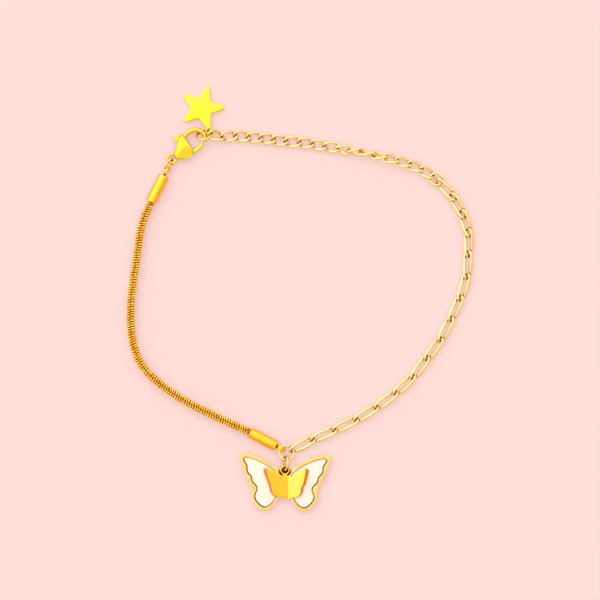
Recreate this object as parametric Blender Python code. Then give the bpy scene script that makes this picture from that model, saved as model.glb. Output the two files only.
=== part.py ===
"""Charm bracelet lying flat and fastened: popcorn chain, long-link chain, butterfly pendant,
lobster clasp and an extender chain with a star tag. Metres, +Z up, resting on z = 0.
"""

import math

import bmesh
import bpy
from mathutils import Matrix, Vector

MM = 0.001

# Clearances, in millimetres
LINK_GAP = 0.12
FIT_GAP = 0.12

# Popcorn chain
ROPE_DIAMETER = 2.0
ROPE_LOBE = 0.81
ROPE_WAIST = 0.84
ROPE_SIDES = 8
ROPE_Z = 1.02
# Route of the popcorn chain, from the upper cap's mouth to the lower cap's mouth
ROPE_ROUTE = [
    (-31.0, 20.4), (-32.2, 17.7), (-33.2, 14.5), (-33.7, 11.2), (-34.2, 7.7),
    (-34.7, 4.1), (-35.2, -0.1), (-35.3, -4.3), (-34.9, -8.5), (-33.6, -12.6),
    (-31.3, -15.7), (-27.4, -19.0), (-22.9, -21.8), (-18.5, -24.0), (-14.3, -26.0),
    (-10.3, -27.8),
]

# End caps
CAP_LENGTH = 6.2
CAP_DIAMETER = 2.3
CAP_WALL = 0.24
CAP_POCKET = 1.4
CAP_EDGE = 0.18
CAP_Z = 1.16
UPPER_CAP_BEARING = 63.8
LOWER_CAP_BEARING = -27.6
LOOP_DIAMETER = 2.05
LOOP_WALL = 0.31
LOWER_LOOP_WIDTH = 1.0
UPPER_LOOP_WIDTH = 0.6
LOOP_REACH = 1.1

# Long-link chain
LONG_WIRE = 0.57
LONG_WIDTH = 2.2
LONG_PITCH = 5.05
LONG_TWIST = -51.0
# Joints of the long-link chain, between the extender ring and the centre ring
LONG_ROUTE = [
    (32.3, 21.6), (34.4, 17.8), (35.55, 14.1), (35.5, 9.7), (35.2, 4.8), (33.8, 0.3),
    (31.9, -4.0), (29.7, -8.4), (26.8, -12.3), (23.9, -16.2), (20.25, -19.6), (16.25, -22.6),
    (11.95, -25.2), (7.4, -27.35), (2.8, -29.35),
]
LONG_ROLL = [12, 6, 2, 0, 0, 0, 0, 0, 0, 0, 0, 0, 0, -3, -7, -11]

# Extender chain
SHORT_WIRE = 0.5
SHORT_WIDTH = 2.42
SHORT_PITCH = 2.78
SHORT_TWIST = -46.0
# Joints of the extender chain, from the end ring to the extender ring
SHORT_ROUTE = [
    (-16.1, 34.1), (-13.35, 34.4), (-10.7, 34.1), (-8.0, 33.9), (-5.4, 33.6), (-2.7, 33.2),
    (0.0, 33.0), (2.7, 32.7), (5.4, 32.2), (8.0, 31.8), (10.5, 31.2), (13.0, 30.9),
    (15.6, 30.3), (18.1, 29.8), (20.7, 29.1), (23.2, 28.4), (25.7, 27.3), (28.0, 25.8),
]
SHORT_ROLL = [-14, 0, 0, 0, 0, 0, 0, 0, 6, 22, 46, 72, 98, 122, 142, 152, 156, 158]

# Rings
RING_WIRE = 0.53
EXTENDER_RING_DIAMETER = 3.1
CENTRE_RING_DIAMETER = 3.5
CENTRE_RING_BEARING = -38.0
CENTRE_RING_TILT = 2.0
PENDANT_RING_WIRE = 0.47
PENDANT_RING_LENGTH = 3.3
PENDANT_RING_WIDTH = 2.5
PENDANT_RING_ROLL = 57.0
PENDANT_RING_BEARING = -97.0
END_RING_WIRE = 0.46
END_RING_DIAMETER = 3.6
END_RING_ROLL = -52.0
END_RING_LEFT = (-21.4, 34.0)
END_RING_BEARING = 16.0
FIRST_LINK_TURN = -14.0

# Butterfly pendant
BUTTERFLY_SPAN = 19.3
BUTTERFLY_HEIGHT = 12.0
BUTTERFLY_BEARING = -1.2
PLATE_HEIGHT = 0.95
RIM_HEIGHT = 1.25
SHELL_HEIGHT = 0.5
SHELL_GAP = 0.1
WING_THICKNESS = 0.45
WING_RISE = 0.95
WING_BEVEL = 0.7
EYELET_DIAMETER = 2.0
EYELET_BORE = 1.4
EYELET_HEIGHT = 0.5
EYELET_Z = 1.3
EYELET_SHARE = 0.229
WELL_CLEARANCE = 0.35
TONGUE_WIDTH = 1.1
TONGUE_LENGTH = 1.05
TONGUE_STEP = 0.05
RIM_EDGE = 0.15
FOOT = 0.02

# Lobster clasp
CLASP_LENGTH = 10.0
CLASP_BEARING = 36.8
CLASP_THICKNESS = 2.0
CLASP_EDGE = 0.3
EYE_DIAMETER = 2.3
EYE_BORE = 1.26
EYE_HEIGHT = 0.56
EYE_X = -26.6
EYE_Y = 29.6
HOOK_WIRE = 0.72
HOOK_ROOT = 1.25
SLOT_HEIGHT = 0.95
LEVER_THICKNESS = 0.75
PIN_DIAMETER = 0.55
PIN_GAP = 0.1
PIVOT_X = 3.5
PIVOT_Y = -0.55
CLASP_LINK_WIRE = 0.42
CLASP_LINK_WIDTH = 1.85
CLASP_LINK_LENGTH = 2.6
CLASP_LINK_TWIST = 34.0
CLASP_LINK_ROLL = 46.0

# Star tag
STAR_RADIUS = 4.7
STAR_NOTCH = 2.35
STAR_HOLLOW = 1.04
STAR_THICKNESS = 0.7
STAR_BEARING = 1.3
STAR_TIP = 0.42
STAR_EDGE = 0.12
STAR_LOOP_DIAMETER = 1.96
STAR_LOOP_WIRE = 0.4
STAR_LOOP_TURN = 26.0

SIDES = 6
ROUND = 16


# Meshes and materials
def clear_scene():
    for item in list(bpy.data.objects):
        bpy.data.objects.remove(item, do_unlink=True)


def material(name, colour, roughness, metallic):
    made = bpy.data.materials.new(name)
    made.use_nodes = True
    shader = made.node_tree.nodes["Principled BSDF"]
    shader.inputs["Base Color"].default_value = (*colour, 1.0)
    shader.inputs["Roughness"].default_value = roughness
    shader.inputs["Metallic"].default_value = metallic
    made.diffuse_color = (*colour, 1.0)
    return made


def mesh_of(points, faces, name):
    mesh = bpy.data.meshes.new(name)
    mesh.from_pydata([tuple(p) for p in points], [], faces)
    shape = bmesh.new()
    shape.from_mesh(mesh)
    bmesh.ops.recalc_face_normals(shape, faces=shape.faces)
    shape.to_mesh(mesh)
    shape.free()
    return mesh


def add(name, mesh, finish, matrix=None, smooth=True):
    """Places a mesh drawn in millimetres: the object's scale stays one."""
    mesh.transform(Matrix.Scale(MM, 4))
    item = bpy.data.objects.new(name, mesh)
    bpy.context.scene.collection.objects.link(item)
    if matrix is not None:
        placed = matrix.copy()
        placed.translation = placed.translation * MM
        item.matrix_world = placed
    mesh.materials.append(finish)
    for face in mesh.polygons:
        face.use_smooth = smooth
    return item


def cut(item, tool, operation="DIFFERENCE"):
    """Applies one exact Boolean and removes the tool."""
    change = item.modifiers.new(operation.lower(), "BOOLEAN")
    change.operation = operation
    change.solver = "EXACT"
    change.object = tool
    bpy.context.view_layer.update()
    graph = bpy.context.evaluated_depsgraph_get()
    result = bpy.data.meshes.new_from_object(item.evaluated_get(graph))
    item.modifiers.remove(change)
    item.data = result
    bpy.data.objects.remove(tool, do_unlink=True)
    return item


def tube(path, radius, sides, closed, start=None):
    """Points and faces of a round wire along a path; radius may be one number or one for each point."""
    count = len(path)
    radii = radius if isinstance(radius, list) else [radius] * count
    tangents = []
    for i in range(count):
        before = path[i - 1] if closed or i else path[i]
        after = path[(i + 1) % count] if closed or i < count - 1 else path[i]
        tangents.append((after - before).normalized())
    normal = (start or tangents[0].orthogonal()).copy()
    normal = (normal - tangents[0] * normal.dot(tangents[0])).normalized()
    normals = [normal]
    for i in range(1, count + (1 if closed else 0)):
        turn = tangents[(i - 1) % count].rotation_difference(tangents[i % count])
        normals.append(turn @ normals[-1])
    drift = 0.0
    if closed:
        last = normals.pop()
        side = tangents[0].cross(normals[0])
        drift = math.atan2(last.dot(side), last.dot(normals[0]))
        step = 2 * math.pi / sides
        drift -= round(drift / step) * step
    points = []
    for i in range(count):
        across = tangents[i].cross(normals[i])
        for k in range(sides):
            angle = 2 * math.pi * k / sides - drift * i / count
            spoke = normals[i] * math.cos(angle) + across * math.sin(angle)
            points.append(path[i] + spoke * radii[i])
    faces = []
    shift = 0
    if closed:
        wanted = path[0] + points[(count - 1) * sides] - path[-1]
        misses = [(points[k] - wanted).length for k in range(sides)]
        shift = misses.index(min(misses))
    for i in range(count if closed else count - 1):
        j = (i + 1) % count
        slip = shift if j == 0 else 0
        for k in range(sides):
            faces.append((
                i * sides + k,
                i * sides + (k + 1) % sides,
                j * sides + (k + 1 + slip) % sides,
                j * sides + (k + slip) % sides,
            ))
    if not closed:
        faces.append(tuple(range(sides)))
        faces.append(tuple(range((count - 1) * sides, count * sides)))
    return points, faces


def prism(outline, low, high, edge=0.0):
    """Points and faces of a flat outline between two heights, with its edges chamfered by edge."""
    count = len(outline)
    flat = [Vector((x, y, 0)) for x, y in outline]
    inner = []
    for i in range(count):
        a = (flat[i] - flat[i - 1]).normalized()
        b = (flat[(i + 1) % count] - flat[i]).normalized()
        inward = (Vector((-a.y, a.x, 0)) + Vector((-b.y, b.x, 0))).normalized()
        stretch = max(0.5, math.sqrt(max(0.0, (1 + a.dot(b)) / 2)))
        inner.append(flat[i] + inward * edge / stretch)
    area = sum(a.x * b.y - b.x * a.y for a, b in zip(flat, flat[1:] + flat[:1]))
    if area < 0:
        inner = [2 * f - i for f, i in zip(flat, inner)]
    rows = [(flat, low), (flat, high)]
    if edge:
        rows = [(inner, low), (flat, low + edge), (flat, high - edge), (inner, high)]
    points = [Vector((p.x, p.y, z)) for row, z in rows for p in row]
    faces = [tuple(range(count)), tuple(range((len(rows) - 1) * count, len(rows) * count))]
    for r in range(len(rows) - 1):
        for i in range(count):
            j = (i + 1) % count
            faces.append((r * count + i, r * count + j, (r + 1) * count + j, (r + 1) * count + i))
    return points, faces


def lathe(profile, sides):
    """Points and faces of a closed (radius, height) profile turned about Z; it starts and ends on the axis."""
    points = [Vector((0, 0, profile[0][1]))]
    for radius, height in profile[1:-1]:
        for k in range(sides):
            angle = 2 * math.pi * k / sides
            points.append(Vector((radius * math.cos(angle), radius * math.sin(angle), height)))
    points.append(Vector((0, 0, profile[-1][1])))
    last = len(points) - 1
    rows = len(profile) - 2
    faces = []
    for k in range(sides):
        n = (k + 1) % sides
        faces.append((0, 1 + k, 1 + n))
        faces.append((last, 1 + (rows - 1) * sides + n, 1 + (rows - 1) * sides + k))
        for r in range(rows - 1):
            faces.append((
                1 + r * sides + k, 1 + (r + 1) * sides + k,
                1 + (r + 1) * sides + n, 1 + r * sides + n,
            ))
    return points, faces


def circle(radius, count, z=0.0):
    angles = [2 * math.pi * i / count for i in range(count)]
    return [Vector((radius * math.cos(a), radius * math.sin(a), z)) for a in angles]


def washer(outer, inner, low, high, sides):
    """Points and faces of a flat ring with square edges."""
    rows = [(outer, low), (outer, high), (inner, high), (inner, low)]
    points = [p for radius, z in rows for p in circle(radius, sides, z)]
    faces = []
    for r in range(4):
        s = (r + 1) % 4
        for k in range(sides):
            n = (k + 1) % sides
            faces.append((r * sides + k, r * sides + n, s * sides + n, s * sides + k))
    return points, faces


def polar(degrees):
    return Vector((math.cos(math.radians(degrees)), math.sin(math.radians(degrees)), 0))


def spline(points, steps):
    """A smooth run through the points (Catmull-Rom)."""
    run = [2 * points[0] - points[1]] + points + [2 * points[-1] - points[-2]]
    out = []
    for i in range(1, len(run) - 2):
        for s in range(steps):
            t = s / steps
            out.append(0.5 * (
                2 * run[i]
                + (run[i + 1] - run[i - 1]) * t
                + (2 * run[i - 1] - 5 * run[i] + 4 * run[i + 1] - run[i + 2]) * t * t
                + (3 * run[i] - 3 * run[i + 1] + run[i + 2] - run[i - 1]) * t ** 3
            ))
    out.append(points[-1].copy())
    return out


def evenly(path, count):
    """The path's points at even spacing, ends included."""
    lengths = [0.0]
    for a, b in zip(path, path[1:]):
        lengths.append(lengths[-1] + (b - a).length)
    out = []
    at = 0
    for i in range(count):
        want = lengths[-1] * i / (count - 1)
        while at < len(path) - 2 and lengths[at + 1] < want:
            at += 1
        share = (want - lengths[at]) / max(1e-9, lengths[at + 1] - lengths[at])
        out.append(path[at].lerp(path[at + 1], min(1.0, max(0.0, share))))
    return out


# Links and rings
def link_path(length, width, twist, roll):
    """Centre line of a twisted oval link along X: length and width are the centre line's own."""
    half = width / 2
    straight = length / 2 - half
    flat = []
    for i in range(5):
        angle = math.radians(-90 + 45 * i)
        flat.append((straight + half * math.cos(angle), half * math.sin(angle)))
    flat.append((straight / 3, half))
    flat.append((-straight / 3, half))
    for i in range(5):
        angle = math.radians(90 + 45 * i)
        flat.append((-straight + half * math.cos(angle), half * math.sin(angle)))
    flat.append((-straight / 3, -half))
    flat.append((straight / 3, -half))
    out = []
    for x, y in flat:
        turn = math.radians(roll + twist * x / (length / 2))
        out.append(Vector((x, y * math.cos(turn), y * math.sin(turn))))
    return out


def frame_along(start, end):
    """Placement with X from start to end, Y level, at the middle."""
    along = (end - start).normalized()
    across = Vector((0, 0, 1)).cross(along).normalized()
    up = along.cross(across)
    turned = Matrix((along, across, up)).transposed().to_4x4()
    return Matrix.Translation((start + end) / 2) @ turned


def link_height(length, width, wire, twist, roll):
    return wire / 2 - min(p.z for p in link_path(length, width, twist, roll))


def chain(name, joints, sizes, rolls, finish):
    """Interlocking links between the joints, each its own object."""
    pitch, width, wire, twist = sizes
    length = pitch + wire + LINK_GAP
    heights = [link_height(length, width - wire, wire, twist, roll) for roll in rolls]
    for i in range(1, len(joints) - 1):
        joints[i].z = max(heights[i - 1], heights[i]) + LINK_GAP / 4
    for i, roll in enumerate(rolls):
        points, faces = tube(link_path(length, width - wire, twist, roll), wire / 2, SIDES, True)
        place = frame_along(joints[i], joints[i + 1])
        add(f"{name}_{i + 1:02d}", mesh_of(points, faces, name), finish, place)


def reach(ring_diameter, ring_wire, wire):
    """How far from a ring's centre the joint with a link lies."""
    return (ring_diameter - ring_wire) / 2 - ((ring_wire + wire) / 2 + LINK_GAP) / 2


def ring(name, diameter, wire, finish, matrix, count=ROUND):
    points, faces = tube(circle((diameter - wire) / 2, count), wire / 2, SIDES, True)
    return add(name, mesh_of(points, faces, name), finish, matrix)


# Popcorn chain and its caps
def cap_axis(mouth, bearing):
    """Placement of a cap with its mouth at the origin and Z pointing away from the chain."""
    along = polar(bearing)
    side = along.cross(Vector((0, 0, 1)))
    turned = Matrix((Vector((0, 0, 1)), side, along)).transposed()
    return Matrix.Translation(mouth) @ turned.to_4x4()


def cap(name, mouth, bearing, loop_width, finish):
    outer = CAP_DIAMETER / 2
    bore = outer - CAP_WALL
    profile = [
        (0, CAP_POCKET), (bore, CAP_POCKET), (bore, 0), (outer - CAP_EDGE / 2, 0),
        (outer, CAP_EDGE / 2), (outer, CAP_LENGTH - CAP_EDGE), (outer - CAP_EDGE, CAP_LENGTH),
        (0, CAP_LENGTH),
    ]
    points, faces = lathe(profile, ROUND)
    place = cap_axis(mouth, bearing)
    body = add(name, mesh_of(points, faces, name), finish, place)
    points, faces = washer(
        LOOP_DIAMETER / 2, LOOP_DIAMETER / 2 - LOOP_WALL, -loop_width / 2, loop_width / 2, ROUND
    )
    tip = Matrix.Translation((0, 0, CAP_LENGTH + LOOP_REACH))
    tip = tip @ Matrix.Rotation(math.radians(90), 4, "X")
    loop = add("loop", mesh_of(points, faces, "loop"), finish, place @ tip)
    cut(body, loop, "UNION")
    neck_length = LOOP_REACH - LOOP_DIAMETER / 2 + LOOP_WALL / 2 + CAP_EDGE
    outline = [
        (-LOOP_WALL, -loop_width / 2), (LOOP_WALL, -loop_width / 2),
        (LOOP_WALL, loop_width / 2), (-LOOP_WALL, loop_width / 2),
    ]
    points, faces = prism(outline, CAP_LENGTH - CAP_EDGE, CAP_LENGTH - CAP_EDGE + neck_length)
    neck = add("neck", mesh_of(points, faces, "neck"), finish, place)
    cut(body, neck, "UNION")
    return place @ Vector((0, 0, CAP_LENGTH + LOOP_REACH))


def popcorn_chain(finish):
    """The whole chain as one lobed rope, ending inside the caps."""
    stem = CAP_POCKET - FIT_GAP * 2
    ends = [polar(UPPER_CAP_BEARING) * stem, polar(LOWER_CAP_BEARING) * stem]
    route = [Vector((x, y, ROPE_Z)) for x, y in ROPE_ROUTE]
    route[0].z = CAP_Z
    route[-1].z = CAP_Z
    route = spline(route, 12)
    length = sum((b - a).length for a, b in zip(route, route[1:]))
    lobes = round(length / ROPE_LOBE)
    path = evenly(route, 2 * lobes + 1)
    full = ROPE_DIAMETER / 2
    radii = [full if i % 2 else full * ROPE_WAIST for i in range(len(path))]
    thin = CAP_DIAMETER / 2 - CAP_WALL - FIT_GAP
    radii[0] = thin
    radii[-1] = thin
    path = [path[0] + ends[0]] + path + [path[-1] + ends[1]]
    radii = [thin] + radii + [thin]
    points, faces = tube(path, radii, ROPE_SIDES, False, Vector((0, 0, 1)))
    add("popcorn_chain", mesh_of(points, faces, "popcorn_chain"), finish)


# Lobster clasp
# Outlines as shares of the clasp's length, from the eye's centre along the clasp
BODY_OUTLINE = [
    (0.085, 0.05), (0.06, -0.06), (0.11, -0.10), (0.19, -0.165), (0.287, -0.205), (0.36, -0.20),
    (0.43, -0.155), (0.465, -0.09), (0.474, 0.0), (0.48, 0.10), (0.484, 0.2), (0.46, 0.255),
    (0.41, 0.262), (0.33, 0.225), (0.24, 0.17), (0.17, 0.105), (0.125, 0.06),
]
SLOT_OUTLINE = [
    (0.265, -0.115), (0.30, -0.150), (0.375, -0.160), (0.392, -0.26), (0.60, -0.26), (0.60, 0.035),
    (0.425, 0.035), (0.418, 0.10), (0.425, 0.40), (0.05, 0.40), (0.16, 0.14), (0.245, 0.0),
    (0.252, -0.08),
]
LEVER_OUTLINE = [
    (0.31, -0.115), (0.37, -0.132), (0.435, -0.175), (0.48, -0.203), (0.60, -0.200),
    (0.69, -0.172), (0.725, -0.150),
    (0.710, -0.112), (0.60, -0.125), (0.52, -0.142), (0.45, -0.100), (0.418, -0.03), (0.402, 0.05),
    (0.400, 0.22), (0.418, 0.297), (0.36, 0.335), (0.305, 0.36), (0.275, 0.27), (0.262, 0.15),
    (0.280, 0.03), (0.272, -0.05), (0.280, -0.09),
]
HOOK_ROUTE = [
    (0.455, 0.19), (0.51, 0.213), (0.58, 0.222), (0.68, 0.205), (0.765, 0.155), (0.822, 0.068),
    (0.828, -0.03), (0.785, -0.11),
]


def clasp_place():
    eye = Matrix.Translation((EYE_X, EYE_Y, CLASP_THICKNESS / 2 + FOOT))
    return eye @ Matrix.Rotation(math.radians(CLASP_BEARING), 4, "Z")


def scaled(table, size):
    return [(x * size, y * size) for x, y in table]


def clasp(finish, lever_finish):
    place = clasp_place()
    half = CLASP_THICKNESS / 2
    points, faces = prism(scaled(BODY_OUTLINE, CLASP_LENGTH), -half, half, CLASP_EDGE)
    body = add("clasp_body", mesh_of(points, faces, "clasp_body"), finish, place)
    points, faces = prism(scaled(SLOT_OUTLINE, CLASP_LENGTH), -SLOT_HEIGHT / 2, SLOT_HEIGHT / 2)
    cut(body, add("slot", mesh_of(points, faces, "slot"), finish, place))
    route = [Vector((x * CLASP_LENGTH, y * CLASP_LENGTH, 0)) for x, y in HOOK_ROUTE]
    path = evenly(spline(route, 6), 13)
    full = HOOK_WIRE / 2
    shares = [min(1.0, 4 * i / (len(path) - 1)) for i in range(len(path))]
    radii = [full * (HOOK_ROOT - (HOOK_ROOT - 1) * share) for share in shares]
    tip = (path[-1] - path[-2]).normalized() * HOOK_WIRE / 4
    path.append(path[-1] + tip)
    radii.append(HOOK_WIRE / 4)
    points, faces = tube(path, radii, 10, False, Vector((0, 0, 1)))
    cut(body, add("hook", mesh_of(points, faces, "hook"), finish, place), "UNION")
    points, faces = washer(EYE_DIAMETER / 2, EYE_BORE / 2, -EYE_HEIGHT / 2, EYE_HEIGHT / 2, ROUND)
    cut(body, add("eye", mesh_of(points, faces, "eye"), finish, place), "UNION")
    at_pin = place @ Matrix.Translation((PIVOT_X, PIVOT_Y, 0))
    reach_z = SLOT_HEIGHT / 2 + CLASP_EDGE / 2
    pin = [(p.x, p.y) for p in circle(PIN_DIAMETER / 2, 10)]
    points, faces = prism(pin, -reach_z, reach_z)
    cut(body, add("pin", mesh_of(points, faces, "pin"), finish, at_pin), "UNION")

    outline = [(x - PIVOT_X, y - PIVOT_Y) for x, y in scaled(LEVER_OUTLINE, CLASP_LENGTH)]
    points, faces = prism(outline, -LEVER_THICKNESS / 2, LEVER_THICKNESS / 2, CLASP_EDGE / 3)
    lever = add("clasp_lever", mesh_of(points, faces, "clasp_lever"), lever_finish, at_pin)
    bore = [(p.x, p.y) for p in circle(PIN_DIAMETER / 2 + PIN_GAP, 12)]
    points, faces = prism(bore, -LEVER_THICKNESS, LEVER_THICKNESS)
    cut(lever, add("bore", mesh_of(points, faces, "bore"), finish, at_pin))


def clasp_link(loop_centre, finish):
    eye = clasp_place().translation
    middle = (loop_centre + eye) / 2
    along = (eye - loop_centre).normalized()
    half = CLASP_LINK_LENGTH / 2
    width = CLASP_LINK_WIDTH - CLASP_LINK_WIRE
    path = link_path(CLASP_LINK_LENGTH, width, CLASP_LINK_TWIST, CLASP_LINK_ROLL)
    points, faces = tube(path, CLASP_LINK_WIRE / 2, SIDES, True)
    place = frame_along(middle - along * half, middle + along * half)
    add("clasp_link", mesh_of(points, faces, "clasp_link"), finish, place)


# Butterfly pendant
# Half of the frame's outline, from the top middle out and round to the bottom middle,
# as shares of half the span (x) and of the height (y, up from the middle)
FRAME_HALF = [
    (0.0, 0.16), (0.10, 0.19), (0.145, 0.26), (0.245, 0.295), (0.39, 0.362), (0.535, 0.432),
    (0.68, 0.475), (0.826, 0.502), (0.95, 0.505), (0.995, 0.478), (0.985, 0.425), (0.943, 0.315),
    (0.898, 0.205), (0.845, 0.105), (0.79, 0.02), (0.735, -0.06), (0.713, -0.12), (0.718, -0.19),
    (0.700, -0.28), (0.64, -0.38), (0.54, -0.455), (0.42, -0.478), (0.32, -0.455), (0.235, -0.395),
    (0.17, -0.31), (0.12, -0.24), (0.06, -0.222), (0.0, -0.215),
]
# The shell inlay's outline on one side, in the same shares
SHELL_OUTLINE = [
    (0.10, -0.20), (0.10, 0.10), (0.24, 0.235), (0.345, 0.292), (0.45, 0.335), (0.60, 0.392),
    (0.74, 0.428), (0.845, 0.446), (0.905, 0.425), (0.915, 0.39), (0.87, 0.33), (0.835, 0.28),
    (0.838, 0.21), (0.80, 0.15), (0.745, 0.11), (0.728, 0.045), (0.70, -0.005), (0.645, -0.045),
    (0.605, -0.10), (0.625, -0.16), (0.655, -0.215), (0.645, -0.29), (0.58, -0.365), (0.49, -0.42),
    (0.41, -0.435), (0.32, -0.40), (0.24, -0.335), (0.175, -0.25),
]
# The small butterfly's outline on one side: the fold runs up the middle at x = 0
SMALL_HALF = [
    (0.0, -0.242), (0.0, 0.105), (0.14, 0.178), (0.25, 0.222), (0.36, 0.262), (0.44, 0.27),
    (0.475, 0.245), (0.468, 0.19), (0.42, 0.075), (0.375, 0.0), (0.365, -0.07), (0.345, -0.135),
    (0.285, -0.195), (0.20, -0.235), (0.10, -0.255),
]


def butterfly_place(eyelet):
    """The pendant hangs from its eyelet's centre."""
    turned = Matrix.Rotation(math.radians(BUTTERFLY_BEARING), 4, "Z")
    up = turned @ Vector((0, BUTTERFLY_HEIGHT * EYELET_SHARE, 0))
    return Matrix.Translation(Vector((eyelet.x - up.x, eyelet.y - up.y, 0))) @ turned


def half_sizes(table, side):
    return [(x * side * BUTTERFLY_SPAN / 2, y * BUTTERFLY_HEIGHT) for x, y in table]


def shell_outline(side, inset):
    """A shell's outline drawn in by a clearance from its pocket."""
    outline = half_sizes(SHELL_OUTLINE, side)
    if not inset:
        return outline
    points, _ = prism(outline, 0, 1 + 2 * inset, inset)
    return [(p.x, p.y) for p in points[:len(outline)]]


def small_wing(side, name, finish, place):
    """One wing of the small butterfly, bent up from the fold."""
    outline = half_sizes(SMALL_HALF, side)
    widest = max(abs(x) for x, _ in outline)
    count = len(outline)
    low = [Vector((x, y, PLATE_HEIGHT + SHELL_GAP / 2)) for x, y in outline]
    high = [
        Vector((
            x * (1 - WING_BEVEL / widest),
            y,
            PLATE_HEIGHT + WING_THICKNESS + WING_RISE * (abs(x) / widest) ** 1.3,
        ))
        for x, y in outline
    ]
    if side > 0:
        low.reverse()
        high.reverse()
    faces = [tuple(range(count)), tuple(range(count, 2 * count))]
    for i in range(count):
        j = (i + 1) % count
        faces.append((i, j, count + j, count + i))
    return add(name, mesh_of(low + high, faces, name), finish, place, False)


def butterfly(eyelet, finish, shell_finish):
    place = butterfly_place(eyelet)
    left = half_sizes(FRAME_HALF, -1)
    right = half_sizes(FRAME_HALF, 1)
    outline = left + right[-2:0:-1]
    points, faces = prism(outline, FOOT, RIM_HEIGHT, RIM_EDGE)
    body = add("butterfly_pendant", mesh_of(points, faces, "butterfly_pendant"), finish, place, False)
    floor = PLATE_HEIGHT - SHELL_HEIGHT
    for side, name in ((-1, "shell_left"), (1, "shell_right")):
        points, faces = prism(shell_outline(side, 0), floor, RIM_HEIGHT + 1)
        cut(body, add("pocket", mesh_of(points, faces, "pocket"), finish, place))
    for side in (-1, 1):
        cut(body, small_wing(side, "wing", finish, place), "UNION")
    hole = Matrix.Translation((eyelet.x, eyelet.y, 0))
    points, faces = prism([(p.x, p.y) for p in circle(EYELET_DIAMETER / 2 + WELL_CLEARANCE, ROUND)], -1, 5)
    cut(body, add("well", mesh_of(points, faces, "well"), finish, hole))
    low = EYELET_Z - EYELET_HEIGHT / 2
    high = EYELET_Z + EYELET_HEIGHT / 2
    points, faces = washer(EYELET_DIAMETER / 2, EYELET_BORE / 2, low, high, ROUND)
    cut(body, add("eyelet", mesh_of(points, faces, "eyelet"), finish, hole), "UNION")
    near = -(EYELET_DIAMETER + EYELET_BORE) / 4 + TONGUE_STEP * 2
    side = TONGUE_WIDTH / 2
    tongue = [(-side, near - TONGUE_LENGTH), (side, near - TONGUE_LENGTH), (side, near), (-side, near)]
    points, faces = prism(tongue, low + TONGUE_STEP, high - TONGUE_STEP)
    cut(body, add("tongue", mesh_of(points, faces, "tongue"), finish, hole), "UNION")

    for side, name in ((-1, "shell_left"), (1, "shell_right")):
        lift = SHELL_GAP / 2
        points, faces = prism(shell_outline(side, SHELL_GAP), floor + lift, PLATE_HEIGHT - lift)
        add(name, mesh_of(points, faces, name), shell_finish, place, False)


# Star tag
def star_outline():
    """Five rounded points about the middle."""
    out = []
    for i in range(5):
        tip = STAR_BEARING + 72 * i
        along = polar(tip)
        across = polar(tip + 90)
        for turn in (-70, -25, 25, 70):
            corner = math.radians(turn)
            arm = STAR_RADIUS - STAR_TIP + STAR_TIP * math.cos(corner)
            out.append(along * arm + across * STAR_TIP * math.sin(corner))
        for turn, share in ((30, STAR_HOLLOW), (36, 1.0), (42, STAR_HOLLOW)):
            out.append(polar(tip + turn) * STAR_NOTCH * share)
    return [(p.x, p.y) for p in out]


def star(loop_centre, finish):
    """The tag leans on the surface from its loop, at the end of the lower right point."""
    along = polar(STAR_BEARING - 72)
    arm = STAR_RADIUS + STAR_LOOP_DIAMETER / 2 - STAR_LOOP_WIRE
    span = arm + STAR_RADIUS * math.cos(math.radians(36))
    slope = math.asin((loop_centre.z - STAR_THICKNESS / 2 - FIT_GAP / 4) / span)
    tilted = Matrix.Rotation(slope, 4, along.cross(Vector((0, 0, 1))))
    at_loop = Matrix.Translation(loop_centre) @ tilted
    place = at_loop @ Matrix.Translation(along * -arm)
    half = STAR_THICKNESS / 2
    points, faces = prism(star_outline(), -half, half, STAR_EDGE)
    body = add("star_tag", mesh_of(points, faces, "star_tag"), finish, place, False)
    path = circle((STAR_LOOP_DIAMETER - STAR_LOOP_WIRE) / 2, 12)
    points, faces = tube(path, STAR_LOOP_WIRE / 2, SIDES, True)
    cut(body, add("loop", mesh_of(points, faces, "loop"), finish, at_loop), "UNION")


# Assembly
def centre_on_origin():
    """Moves every piece together, so that the origin lies under the middle of the whole."""
    bpy.context.view_layer.update()
    items = [item for item in bpy.data.objects if item.type == "MESH"]
    corners = [item.matrix_world @ v.co for item in items for v in item.data.vertices]
    low = Vector([min(c[i] for c in corners) for i in range(3)])
    high = Vector([max(c[i] for c in corners) for i in range(3)])
    shift = Vector((-(low.x + high.x) / 2, -(low.y + high.y) / 2, -low.z))
    for item in items:
        item.location = item.location + shift


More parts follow.
